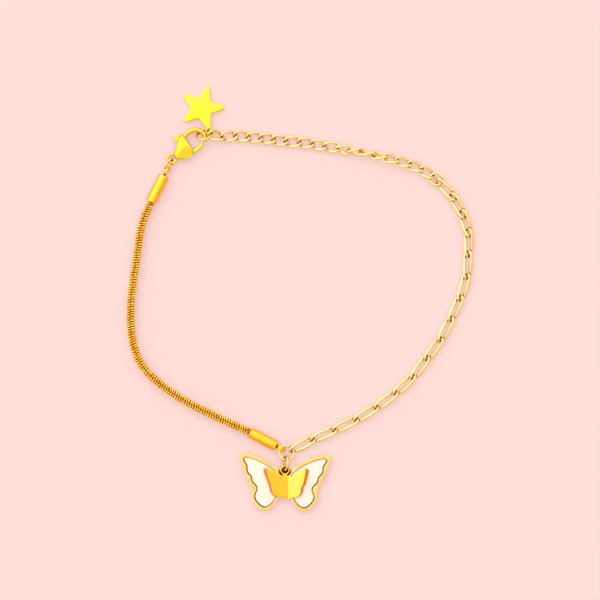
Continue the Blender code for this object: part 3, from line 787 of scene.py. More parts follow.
def sweep(path: list[Vector], radii: list[float], sides: int, closed: bool) -> Mesh:
    """A round wire along a path.

    Args:
        path: The wire's centre line.
        radii: Its radius at each point.
        sides: How many sides its section has.
        closed: Whether it comes round to its start.

    Returns:
        The wire's mesh.
    """
    count = len(path)
    tangents = []
    for i in range(count):
        before = path[i - 1] if closed or i else path[i]
        after = path[(i + 1) % count] if closed or i < count - 1 else path[i]
        tangents.append((after - before).normalized())
    normals = [tangents[0].orthogonal().normalized()]
    for i in range(1, count + (1 if closed else 0)):
        turn = tangents[(i - 1) % count].rotation_difference(tangents[i % count])
        normals.append(turn @ normals[-1])
    drift = 0.0
    if closed:
        last = normals.pop()
        side = tangents[0].cross(normals[0])
        drift = math.atan2(last.dot(side), last.dot(normals[0]))
    points = []
    for i in range(count):
        across = tangents[i].cross(normals[i])
        for k in range(sides):
            angle = 2 * math.pi * k / sides - drift * i / count
            spoke = normals[i] * math.cos(angle) + across * math.sin(angle)
            points.append(path[i] + spoke * radii[i])
    faces = bands(count, sides, closed)
    if not closed:
        faces.append(tuple(range(sides)))
        faces.append(tuple(range((count - 1) * sides, count * sides)))
    return points, faces


def turned(profile: Profile, sides: int, closed: bool = False) -> Mesh:
    """A profile turned about Z.

    Args:
        profile: Its radii and heights; an open one starts and ends on the axis.
        sides: How many sides the turned shape has.
        closed: Whether the profile is a closed ring away from the axis.

    Returns:
        The mesh.
    """
    rows = profile if closed else profile[1:-1]
    points = [p for radius, height in rows for p in circle(radius, sides, height)]
    faces = bands(len(rows), sides, closed)
    if not closed:
        points += [Vector((0, 0, height)) for _, height in (profile[0], profile[-1])]
        last = (len(rows) - 1) * sides
        for k in range(sides):
            n = (k + 1) % sides
            faces.append((len(points) - 2, n, k))
            faces.append((len(points) - 1, last + k, last + n))
    return points, faces


def rounded(low: Vector, high: Vector, radius: float, steps: int = 4) -> Profile:
    """A rectangle's profile with rounded corners.

    Args:
        low: Its inner lower corner.
        high: Its outer upper corner.
        radius: Radius of the corners.
        steps: Steps round each corner.

    Returns:
        The closed profile.
    """
    left, right = low.x + radius, high.x - radius
    bottom, top = low.y + radius, high.y - radius
    corners = ((right, top, 0), (left, top, 90), (left, bottom, 180), (right, bottom, 270))
    out = []
    for x, y, start in corners:
        for i in range(steps + 1):
            spoke = polar(start + 90 * i / steps) * radius
            out.append((x + spoke.x, y + spoke.y))
    return out


def washer(outer: float, inner: float, height: float, edge: float, sides: int = 48) -> Mesh:
    """A flat ring with rounded edges, about the origin.

    Args:
        outer: Its outer radius.
        inner: Its bore's radius.
        height: Its thickness.
        edge: Radius of its edges.
        sides: How many sides it has.

    Returns:
        The mesh.
    """
    low, high = Vector((inner, -height / 2)), Vector((outer, height / 2))
    return turned(rounded(low, high, edge), sides, True)


def inset(outline: Outline, distance: float, sharpest: float = 0.5) -> Outline:
    """An outline moved inwards.

    Args:
        outline: The outline.
        distance: How far each point moves; below zero it moves out.
        sharpest: One over the most that a sharp corner moves further.

    Returns:
        The new outline.
    """
    area = sum(a.x * b.y - b.x * a.y for a, b in zip(outline, outline[1:] + outline[:1]))
    way = 1 if area > 0 else -1
    out = []
    for i, point in enumerate(outline):
        a = (point - outline[i - 1]).normalized()
        b = (outline[(i + 1) % len(outline)] - point).normalized()
        inward = Vector((-a.y - b.y, a.x + b.x, 0))
        inward = inward.normalized() if inward.length > 1e-6 else Vector((-a.y, a.x, 0))
        stretch = max(sharpest, math.sqrt(max(0.0, (1 + a.dot(b)) / 2)))
        out.append(point + inward * way * distance / stretch)
    return out


def slab(outline: Outline, rows: Profile) -> Mesh:
    """A flat piece with its edge built up from rows.

    Args:
        outline: Its outline.
        rows: (inset, height) of each row, from the bottom to the top.

    Returns:
        The mesh.
    """
    count = len(outline)
    points = []
    for distance, height in rows:
        points += [Vector((p.x, p.y, height)) for p in inset(outline, distance)]
    ends = [tuple(range(count)), tuple(range((len(rows) - 1) * count, len(rows) * count))]
    return points, ends + bands(len(rows), count)


def soft_rows(low: float, high: float, edge: float, steps: int = 3) -> Profile:
    """Rows for a slab whose edges are rounded.

    Args:
        low: Height of its bottom.
        high: Height of its top.
        edge: Radius of its edges.
        steps: Steps round each edge.

    Returns:
        (inset, height) of each row, from the bottom to the top.
    """
    quarter = [math.radians(90 * i / steps) for i in range(steps + 1)]
    bottom = [(edge * (1 - math.sin(a)), low + edge * (1 - math.cos(a))) for a in quarter]
    top = [(edge * (1 - math.cos(a)), high - edge * (1 - math.sin(a))) for a in quarter]
    return bottom + top


def field_points(outline: Outline, step: float, clear: float = 0.45) -> Outline:
    """Points of an even grid inside an outline, clear of its edge.

    Args:
        outline: The outline.
        step: The grid's step.
        clear: Steps that they keep from the edge.

    Returns:
        The points.
    """
    edge = np.array([[p.x, p.y] for p in outline])
    after = np.roll(edge, -1, axis=0)
    low, high = edge.min(axis=0), edge.max(axis=0)
    xs = np.arange(low[0] + step / 2, high[0], step)
    ys = np.arange(low[1] + step / 2, high[1], step)
    grid = np.stack(np.meshgrid(xs, ys), axis=-1).reshape(-1, 2)
    span = after[:, 1] - edge[:, 1]
    safe = np.where(np.abs(span) < 1e-9, 1e-9, span)
    spans = (edge[:, 1] > grid[:, 1:2]) != (after[:, 1] > grid[:, 1:2])
    cross = edge[:, 0] + (grid[:, 1:2] - edge[:, 1]) / safe * (after[:, 0] - edge[:, 0])
    inside = (spans & (grid[:, 0:1] < cross)).sum(axis=1) % 2 == 1
    grid = grid[inside]
    kept = grid[edge_distance(grid, edge) > clear * step]
    return [Vector((x, y, 0)) for x, y in kept]


def edge_distance(points: np.ndarray, edge: np.ndarray) -> np.ndarray:
    """Distance of each point from a closed edge.

    Args:
        points: The points, one row each.
        edge: The edge's corners, one row each.

    Returns:
        One distance for each point.
    """
    way = np.roll(edge, -1, axis=0) - edge
    share = ((points[:, None] - edge) * way).sum(axis=2) / np.maximum((way ** 2).sum(axis=1), 1e-12)
    near = edge + np.clip(share, 0, 1)[..., None] * way
    return np.sqrt(((points[:, None] - near) ** 2).sum(axis=2)).min(axis=1)


def cushion(outline: Outline, step: float, top: Surface, bottom: Surface) -> Mesh:
    """A piece with curved top and bottom inside an outline.

    Args:
        outline: The outline.
        step: Spacing of the points inside it.
        top: Height of the top from the distance to the edge and the point.
        bottom: Height of the bottom, in the same way.

    Returns:
        The mesh.
    """
    count = len(outline)
    spots = [Vector((p.x, p.y)) for p in outline + field_points(outline, step)]
    ring = [(i, (i + 1) % count) for i in range(count)]
    found = delaunay_2d_cdt(spots, ring, [list(range(count))], CDT_INSIDE, CDT_NEAR)
    places, triangles = found[0], found[2]
    edge = np.array([[p.x, p.y] for p in outline])
    away = edge_distance(np.array([[p.x, p.y] for p in places]), edge)
    size = len(places)
    points = [Vector((p.x, p.y, top(d, p))) for p, d in zip(places, away)]
    points += [Vector((p.x, p.y, bottom(d, p))) for p, d in zip(places, away)]
    faces = [tuple(t) for t in triangles]
    faces += [tuple(size + i for i in reversed(t)) for t in triangles]
    used = {}
    for t in triangles:
        for a, b in zip(t, list(t[1:]) + [t[0]]):
            used[(a, b)] = used.get((a, b), 0) + 1
    for a, b in used:
        if (b, a) not in used:
            faces.append((b, a, size + a, size + b))
    return points, faces


def own_axes(node: str) -> Matrix:
    """Centre and main axes of a CAD node, X along its longest way and Z along its shortest.

    Args:
        node: The node's name.

    Returns:
        The placement, in millimetres.
    """
    # Each corner counts once, however many faces meet there
    corners = np.array([v.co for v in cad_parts[node].data.vertices])
    corners = np.unique(np.round(corners, 7), axis=0) / MM
    centre = corners.mean(axis=0)
    rows = np.linalg.svd(corners - centre)[2]
    along, across = Vector(rows[0]), Vector(rows[1])
    return Matrix.Translation(Vector(centre)) @ facing(along, across, along.cross(across))


def seated(mesh: Mesh, place: Matrix, clear: float = 0.005) -> Matrix:
    """Raises a placement where the mesh would reach under the surface.

    Args:
        mesh: The mesh.
        place: Its placement.
        clear: Height that its lowest point keeps.

    Returns:
        The placement, raised if needed.
    """
    lowest = min((place @ p).z for p in mesh[0])
    return Matrix.Translation((0, 0, max(0.0, clear - lowest))) @ place


def carve(item: bpy.types.Object, tool: bpy.types.Object) -> None:
    """Cuts a tool out of an object, keeping the tool's finish on the cut, and removes the tool.

    Args:
        item: The object that is cut.
        tool: The object whose shape is taken away.
    """
    change = item.modifiers.new("cut", "BOOLEAN")
    change.operation = "DIFFERENCE"
    change.solver = "EXACT"
    change.material_mode = "TRANSFER"
    change.object = tool
    apply_modifiers(item)
    bpy.data.objects.remove(tool, do_unlink=True)


def apply_modifiers(item: bpy.types.Object) -> None:
    """Makes an object's modifiers part of its mesh.

    Args:
        item: The object.
    """
    bpy.context.view_layer.update()
    graph = bpy.context.evaluated_depsgraph_get()
    result = bpy.data.meshes.new_from_object(item.evaluated_get(graph))
    item.modifiers.clear()
    item.data = result


def soften(item: bpy.types.Object, width: float, crease: float = 32.0, steps: int = 3) -> None:
    """Rounds an object's sharp edges.

    Args:
        item: The object.
        width: Width of the rounding.
        crease: Angle in degrees past which an edge is rounded.
        steps: Steps round each edge.
    """
    change = item.modifiers.new("edge", "BEVEL")
    change.width = width * MM
    change.segments = steps
    change.limit_method = "ANGLE"
    change.angle_limit = math.radians(crease)
    change.use_clamp_overlap = True
    apply_modifiers(item)
    smooth(item.data, crease)


# Links and rings
@dataclass(frozen=True)
class TwistedLink:
    """An oval link twisted about its length, soldered shut on one side.

    Args:
        length: Length from end to end of its centre line.
        width: Outer width.
        wire: Thickness of its wire.
        twist: Turn of each end, in degrees.
        fuller: How much fuller the wire is along the sides than round the ends.
        shoulder: How soon past the ends it is full.
        bend_steps: Steps round each end.
        side_steps: Steps along each side.
    """

    length: float
    width: float
    wire: float
    twist: float
    fuller: float = 0.16
    shoulder: float = 1.6
    bend_steps: int = 12
    side_steps: int = 10

    def centre_line(self) -> list[Vector]:
        """The wire's centre line.

        Returns:
            Its points, about the origin with X along the link.
        """
        half = (self.width - self.wire) / 2
        straight = self.length / 2 - half
        out = []
        for side, start in ((1, -90), (-1, 90)):
            for i in range(self.bend_steps + 1):
                spoke = polar(start + 180 * i / self.bend_steps) * half
                out.append(Vector((side * straight + spoke.x, spoke.y, 0)))
            for i in range(1, self.side_steps):
                share = 1 - 2 * i / self.side_steps
                out.append(Vector((side * straight * share, side * half, 0)))
        return [turned_about("X", 2 * self.twist * p.x / self.length) @ p for p in out]

    def mesh(self, sides: int) -> Mesh:
        """The link's mesh, with fuller sides that leave room at the ends for the next links.

        Args:
            sides: Sides of the wire's section.

        Returns:
            The mesh.
        """
        path = self.centre_line()
        straight = self.length / 2 - (self.width - self.wire) / 2
        radii = []
        for point in path:
            share = min(1.0, self.shoulder * max(0.0, 1 - abs(point.x) / straight))
            radii.append(self.wire / 2 * (1 + self.fuller * share))
        return sweep(path, radii, sides, True)


def numbered(prefix: str, count: int) -> tuple[str, ...]:
    """Node names with a prefix, from 01."""
    return tuple(f"{prefix}_{i:02d}" for i in range(1, count + 1))


@dataclass(frozen=True)
class TwistedLinks:
    """Twisted links of one size, interlocked in a curb chain or on their own.

    Args:
        nodes: The CAD nodes that they stand for.
        link: The sizes of each.
        finish: Their finish.
        sides: Sides of the wire's section.
    """

    nodes: tuple[str, ...]
    link: TwistedLink
    finish: Finish
    sides: int = 12

    def build(self) -> None:
        """Makes each link where its solid lies."""
        mesh = self.link.mesh(self.sides)
        for node in self.nodes:
            form = Form()
            form.add(mesh, seated(mesh, own_axes(node)))
            form.piece(f"{node}_polished", self.finish, node)


@dataclass(frozen=True)
class JumpRing:
    """A ring of round wire with a fine slit where it closes.

    Args:
        node: The CAD node that it stands for.
        length: Its outer length.
        width: Its outer width.
        wire: Thickness of its wire.
        finish: Its finish.
        slit_at: Where the slit is, in degrees.
        slit: Share of the wire that the slit leaves.
        steps: Steps round the ring.
        sides: Sides of the wire's section.
    """

    node: str
    length: float
    width: float
    wire: float
    finish: Finish
    slit_at: float = 200.0
    slit: float = 0.72
    steps: int = 72
    sides: int = 14

    def build(self) -> None:
        """Makes the ring where its solid lies."""
        half_long = (self.length - self.wire) / 2
        half_wide = (self.width - self.wire) / 2
        path = flat([(p.x, p.y) for p in circle(1.0, self.steps)], half_long, half_wide)
        radii = [self.wire / 2] * self.steps
        radii[round(self.slit_at / 360 * self.steps) % self.steps] *= self.slit
        form = Form()
        form.add(sweep(path, radii, self.sides, True), own_axes(self.node))
        form.piece(f"{self.node}_polished", self.finish, self.node)


# Popcorn chain and its caps
@dataclass(frozen=True)
class PopcornChain:
    """A chain of small domed lobes in four rows round a core.

    Args:
        route: Points of its middle line, from the upper cap to the lower cap.
        height: Height of its middle line.
        cap_height: Height of that line in the caps.
        radius: Reach of its lobes on the diagonals.
        pitch: Spacing of the lobes in a row.
        lobe_size: Half sizes of a lobe: along, across and outwards.
        slant: Turn of each lobe in its row, in degrees.
        sway: How far a lobe may turn from that, in degrees.
        sink: How far a lobe may sit nearer to the core.
        seed: Seed of these differences.
        core: Radius of the core.
        finish: Finish of the lobes.
        core_finish: Finish of the core, a darker copy of the lobes' finish as painted shade.
        route_steps: Steps between two points of the route.
        bare: Half pitches at each end that have no lobes.
        lobe_rows: Rows of faces from a lobe's bottom to its top.
        sides: Sides of a lobe and of the core.
        crease: Angle in degrees past which an edge of the lobes is sharp.
    """

    route: Table = (
        (-31.0, 20.4), (-32.2, 17.7), (-33.2, 14.5), (-33.7, 11.2), (-34.2, 7.7),
        (-34.7, 4.1), (-35.2, -0.1), (-35.3, -4.3), (-34.9, -8.5), (-33.6, -12.6),
        (-31.3, -15.7), (-27.4, -19.0), (-22.9, -21.8), (-18.5, -24.0), (-14.3, -26.0),
        (-10.3, -27.8),
    )
    height: float = 1.02
    cap_height: float = 1.16
    radius: float = 1.06
    pitch: float = 0.52
    lobe_size: tuple[float, float, float] = (0.24, 0.52, 0.46)
    slant: float = 14.0
    sway: float = 16.0
    sink: float = 0.09
    seed: int = 11
    core: float = 0.58
    finish: Finish = ROPE_GOLD
    core_finish: Finish = ROPE_CORE_SHADE_GOLD
    route_steps: int = 12
    bare: int = 2
    lobe_rows: int = 7
    sides: int = 12
    crease: float = 80.0

    def middle_line(self) -> list[Vector]:
        """The smooth middle line, in the shared frame.

        Returns:
            Its points.
        """
        points = [Vector((x, y, self.height)) + MIDDLE for x, y in self.route]
        for end in (points[0], points[-1]):
            end.z = self.cap_height + MIDDLE.z
        return spline(points, self.route_steps)

    def lobe(self) -> Mesh:
        """A domed lobe about its centre, X along the chain and Z outwards.

        Returns:
            The mesh.
        """
        turns = [math.pi * i / self.lobe_rows for i in range(self.lobe_rows + 1)]
        points, faces = turned([(math.sin(t), -math.cos(t)) for t in turns], self.sides)
        place = turned_about("Z", self.slant) @ Matrix.Diagonal((*self.lobe_size, 1))
        return [place @ p for p in points], faces

    def build(self) -> None:
        """Makes the core and all the lobes."""
        line = self.middle_line()
        stations = evenly(line, 2 * round(length_of(line) / self.pitch) + 1)
        core = Form()
        core.add(sweep(stations, [self.core] * len(stations), self.sides, False))
        core.piece("popcorn_chain_core", self.core_finish, "popcorn_chain")
        lobes = Form()
        lobe = self.lobe()
        chance = np.random.default_rng(self.seed)
        for i in range(self.bare, len(stations) - self.bare):
            along = (stations[i + 1] - stations[i - 1]).normalized()
            level = UP.cross(along).normalized()
            upward = along.cross(level)
            way = 1 if i % 2 else -1
            for out in ((level * way + upward).normalized(), (level * -way - upward).normalized()):
                lower = self.sink * chance.random()
                centre = stations[i] + out * (self.radius - self.lobe_size[2] - lower)
                sway = turned_about("Z", self.sway * chance.uniform(-1, 1))
                turn = facing(along, out.cross(along), out) @ sway
                lobes.add(lobe, Matrix.Translation(centre) @ turn)
        lobes.piece("popcorn_chain_lobes", self.finish, "popcorn_chain", self.crease)


@dataclass(frozen=True)
class EndCap:
    """A tube cap over the end of the popcorn chain, with a soldered loop.

    Args:
        node: The CAD node that it stands for.
        mouth: Its mouth's middle.
        bearing: Its direction, away from the chain.
        loop_width: Width of its loop.
        height: Height of its middle.
        length: Its length.
        radius: Its outer radius.
        wall: Thickness of its tube.
        pocket: Depth of its mouth.
        edge: Radius of its far edge.
        edge_steps: Steps round that edge.
        lip: Its rounded mouth, from the bore's radius outwards.
        groove: Its outer lip and the groove behind it, from the outer radius.
        loop_radius: Outer radius of its loop.
        loop_wall: Thickness of its loop.
        loop_reach: How far the loop's centre is past the cap.
        loop_edge: Radius of the loop's edges.
        neck_share: Width of the neck as a share of the loop's.
        sides: How many sides it has.
        finish: Its finish.
    """

    node: str
    mouth: Span
    bearing: float
    loop_width: float
    height: float = 1.16
    length: float = 6.2
    radius: float = 1.15
    wall: float = 0.22
    pocket: float = 1.4
    edge: float = 0.2
    edge_steps: int = 5
    lip: Table = ((0.0, 0.12), (0.05, 0.02), (0.11, 0.0))
    groove: Table = (
        (-0.06, 0.02), (0.0, 0.09), (0.0, 0.34), (-0.035, 0.38), (-0.035, 0.44), (0.0, 0.48)
    )
    loop_radius: float = 1.025
    loop_wall: float = 0.31
    loop_reach: float = 1.1
    loop_edge: float = 0.12
    neck_share: float = 0.9
    sides: int = 64
    finish: Finish = POLISHED_GOLD

    def place(self) -> Matrix:
        """The cap's placement, Z along it.

        Returns:
            The placement.
        """
        along = polar(self.bearing)
        turn = facing(UP, along.cross(UP), along)
        return Matrix.Translation(Vector((*self.mouth, self.height)) + MIDDLE) @ turn

    def profile(self) -> Profile:
        """The cap's turned profile, from its pocket's floor over the lip to its far end.

        Returns:
            Its radii and heights.
        """
        bore = self.radius - self.wall
        out = [(0, self.pocket), (bore, self.pocket)]
        out += [(bore + x, z) for x, z in self.lip]
        out += [(self.radius + x, z) for x, z in self.groove]
        out.append((self.radius, self.length / 2))
        for i in range(self.edge_steps + 1):
            spoke = polar(90 * i / self.edge_steps)
            inwards, short = self.edge * (1 - spoke.x), self.edge * (1 - spoke.y)
            out.append((self.radius - inwards, self.length - short))
        return out + [(0, self.length)]

    def build(self) -> None:
        """Makes the cap with its neck and loop."""
        place = self.place()
        form = Form()
        form.add(turned(self.profile(), self.sides), place)
        tip = Matrix.Translation((0, 0, self.length + self.loop_reach)) @ turned_about("X", 90)
        inner = self.loop_radius - self.loop_wall
        loop = washer(self.loop_radius, inner, self.loop_width, self.loop_edge)
        form.add(loop, place @ tip)
        neck = flat(SQUARE, self.loop_wall, self.neck_share * self.loop_width / 2)
        low = self.length - self.edge
        high = self.length + self.loop_reach - inner - self.loop_wall / 2
        form.add(slab(neck, [(0, low), (0, high)]), place)
        form.piece(f"{self.node}_polished", self.finish, self.node)


# Lobster clasp
@dataclass(frozen=True)
class LobsterClasp:
    """A cast clasp body with hook, eye and lever slot, and the sprung lever.

    The outlines are shares of the clasp's length, from the eye's centre along the clasp. Half
    sizes are from its middle plane. The facet along the lever side falls from facet_from down to
    facet_low. The hook is hook_root times as thick where it starts, and hook_swell fuller halfway
    on the side away from the middle of its opening. A grid is the smoothing steps between two
    points of an outline, the spacing along the outline and the spacing inside it.
    """

    length: float = 10.0
    bearing: float = 36.8
    eye: tuple[float, float, float] = (-26.6, 29.6, 1.02)
    half: float = 1.0
    edge_half: float = 0.55
    dome: float = 1.25
    facet_from: float = 0.1
    facet_slope: float = 0.23
    facet_low: float = 0.53
    slot_half: float = 0.475
    lever_half: float = 0.375
    lever_edge: float = 0.22
    lever_side: float = 0.62
    hook_wire: float = 0.72
    hook_root: float = 1.25
    hook_swell: float = 0.13
    hook_taper: float = 4.0
    hook_tip: tuple[float, ...] = (0.35, 0.65, 0.85, 0.97)
    hook_smooth: int = 8
    hook_steps: int = 34
    hook_sides: int = 18
    opening: Span = (6.35, 0.2)
    eye_outer: float = 1.15
    eye_bore: float = 0.63
    eye_height: float = 0.56
    eye_edge: float = 0.2
    pivot: Span = (3.5, -0.55)
    rivet: float = 0.27
    rivet_down: float = 0.13
    rivet_chamfer: float = 0.08
    rivet_face: float = 0.6
    rivet_sides: int = 24
    body_grid: tuple[int, float, float] = (5, 0.16, 0.16)
    lever_grid: tuple[int, float, float] = (4, 0.11, 0.12)
    crease: float = 50.0
    finish: Finish = CLASP_GOLD
    body_outline: Table = (
        (0.085, 0.05), (0.06, -0.06), (0.11, -0.10), (0.19, -0.165), (0.287, -0.205),
        (0.36, -0.20), (0.43, -0.155), (0.465, -0.09), (0.474, 0.0), (0.48, 0.10),
        (0.484, 0.2), (0.46, 0.255), (0.41, 0.262), (0.33, 0.225), (0.24, 0.17),
        (0.17, 0.105), (0.125, 0.06),
    )
    slot_outline: Table = (
        (0.265, -0.115), (0.30, -0.150), (0.375, -0.160), (0.392, -0.26), (0.60, -0.26),
        (0.60, 0.035), (0.425, 0.035), (0.418, 0.10), (0.425, 0.40), (0.05, 0.40),
        (0.16, 0.14), (0.245, 0.0), (0.252, -0.08),
    )
    lever_outline: Table = (
        (0.31, -0.115), (0.37, -0.132), (0.435, -0.175), (0.48, -0.203), (0.60, -0.200),
        (0.69, -0.172), (0.725, -0.150), (0.710, -0.112), (0.60, -0.125), (0.52, -0.142),
        (0.45, -0.100), (0.418, -0.03), (0.402, 0.05), (0.400, 0.22), (0.418, 0.297),
        (0.36, 0.335), (0.305, 0.36), (0.275, 0.27), (0.262, 0.15), (0.280, 0.03),
        (0.272, -0.05), (0.280, -0.09),
    )
    hook_route: Table = (
        (0.455, 0.19), (0.51, 0.213), (0.58, 0.222), (0.68, 0.205), (0.765, 0.155),
        (0.822, 0.068), (0.828, -0.03), (0.785, -0.11),
    )

    def place(self) -> Matrix:
        """The clasp's placement, X along it."""
        return Matrix.Translation(Vector(self.eye) + MIDDLE) @ turned_about("Z", self.bearing)

    def scaled(self, table: Table) -> Outline:
        """A table of shares as points in millimetres."""
        return flat(table, self.length, self.length)

    def body_height(self, away: float, point: Vector) -> float:
        """Height of the domed body above its middle plane, with a facet along its lever side.

        Args:
            away: Distance from the outline.
            point: The point.

        Returns:
            The height.
        """
        share = 1 - min(away / self.dome, 1.0)
        domed = self.edge_half + (self.half - self.edge_half) * math.sqrt(1 - share * share)
        drop = self.facet_slope * max(0.0, self.facet_from - point.y)
        return min(domed, max(self.facet_low, self.half - drop))

    def lever_height(self, away: float, _: Vector) -> float:
        """Height of the lever above its middle plane.

        Args:
            away: Distance from the outline.

        Returns:
            The height.
        """
        share = 1 - min(away / self.lever_edge, 1.0)
        low = self.lever_side
        return self.lever_half * (low + (1 - low) * math.sqrt(1 - share * share))

    def hook(self) -> Mesh:
        """The hook, full at its root, fuller on its outer side and domed at its tip.

        Returns:
            The mesh.
        """
        path = evenly(spline(self.scaled(self.hook_route), self.hook_smooth), self.hook_steps)
        full = self.hook_wire / 2
        opening = Vector((*self.opening, 0))
        last = len(path) - 1
        radii = []
        for i, point in enumerate(path):
            rooted = 1 - min(1.0, self.hook_taper * i / last)
            swell = self.hook_swell * math.sin(math.pi * i / last)
            radii.append(full * (1 + (self.hook_root - 1) * rooted) + swell)
            path[i] = point + (point - opening).normalized() * swell
        end, onwards = path[-1], (path[-1] - path[-2]).normalized()
        for share in self.hook_tip:
            path.append(end + onwards * full * share)
            radii.append(full * math.sqrt(1 - share * share))
        return sweep(path, radii, self.hook_sides, False)

    def rivet_profile(self) -> Profile:
        """The rivet's turned profile, with a chamfered head at each end.

        Returns:
            Its radii and heights.
        """
        top = self.half - self.rivet_down
        low = top - self.rivet_chamfer
        face = self.rivet * self.rivet_face
        upper = [(self.rivet, low), (face, top), (0, top)]
        return [(radius, -height) for radius, height in reversed(upper)] + upper

    def domed(self, table: Table, grid: tuple[int, float, float], height: Surface) -> Form:
        """A piece that is as high above its middle plane as it is deep below.

        Args:
            table: Its outline's table.
            grid: Its smoothing steps and spacings.
            height: Its height from the distance to the edge and the point.

        Returns:
            The piece's form, in place.
        """
        steps, along, inside = grid
        edge = evenly_closed(spline(self.scaled(table), steps, True), along)
        form = Form()
        form.add(cushion(edge, inside, height, lambda d, p: -height(d, p)), self.place())
        return form

    def build_body(self) -> None:
        """Makes the domed body, cut by the lever's slot, with hook, eye and rivet."""
        place = self.place()
        form = self.domed(self.body_outline, self.body_grid, self.body_height)
        body = form.object("clasp_body_polished", self.finish, self.crease)
        cutter = Form()
        slot = self.scaled(self.slot_outline)
        cutter.add(slab(slot, [(0, -self.slot_half), (0, self.slot_half)]), place)
        carve(body, cutter.object("slot_cutter", self.finish))
        settle(body, "clasp_body")
        extra = Form()
        extra.add(self.hook(), place)
        eye = washer(self.eye_outer, self.eye_bore, self.eye_height, self.eye_edge)
        extra.add(eye, place)
        pin = Matrix.Translation((*self.pivot, 0))
        extra.add(turned(self.rivet_profile(), self.rivet_sides), place @ pin)
        extra.piece("clasp_hook_and_eye", self.finish, "clasp_body")

    def build_lever(self) -> None:
        """Makes the thumb lever with its gate, on its own body."""
        form = self.domed(self.lever_outline, self.lever_grid, self.lever_height)
        lever = form.object("clasp_lever_polished", self.finish, self.crease)
        settle(lever, "clasp_lever", Body.LEVER)

    def build(self) -> None:
        """Makes the body and the lever."""
        self.build_body()
        self.build_lever()


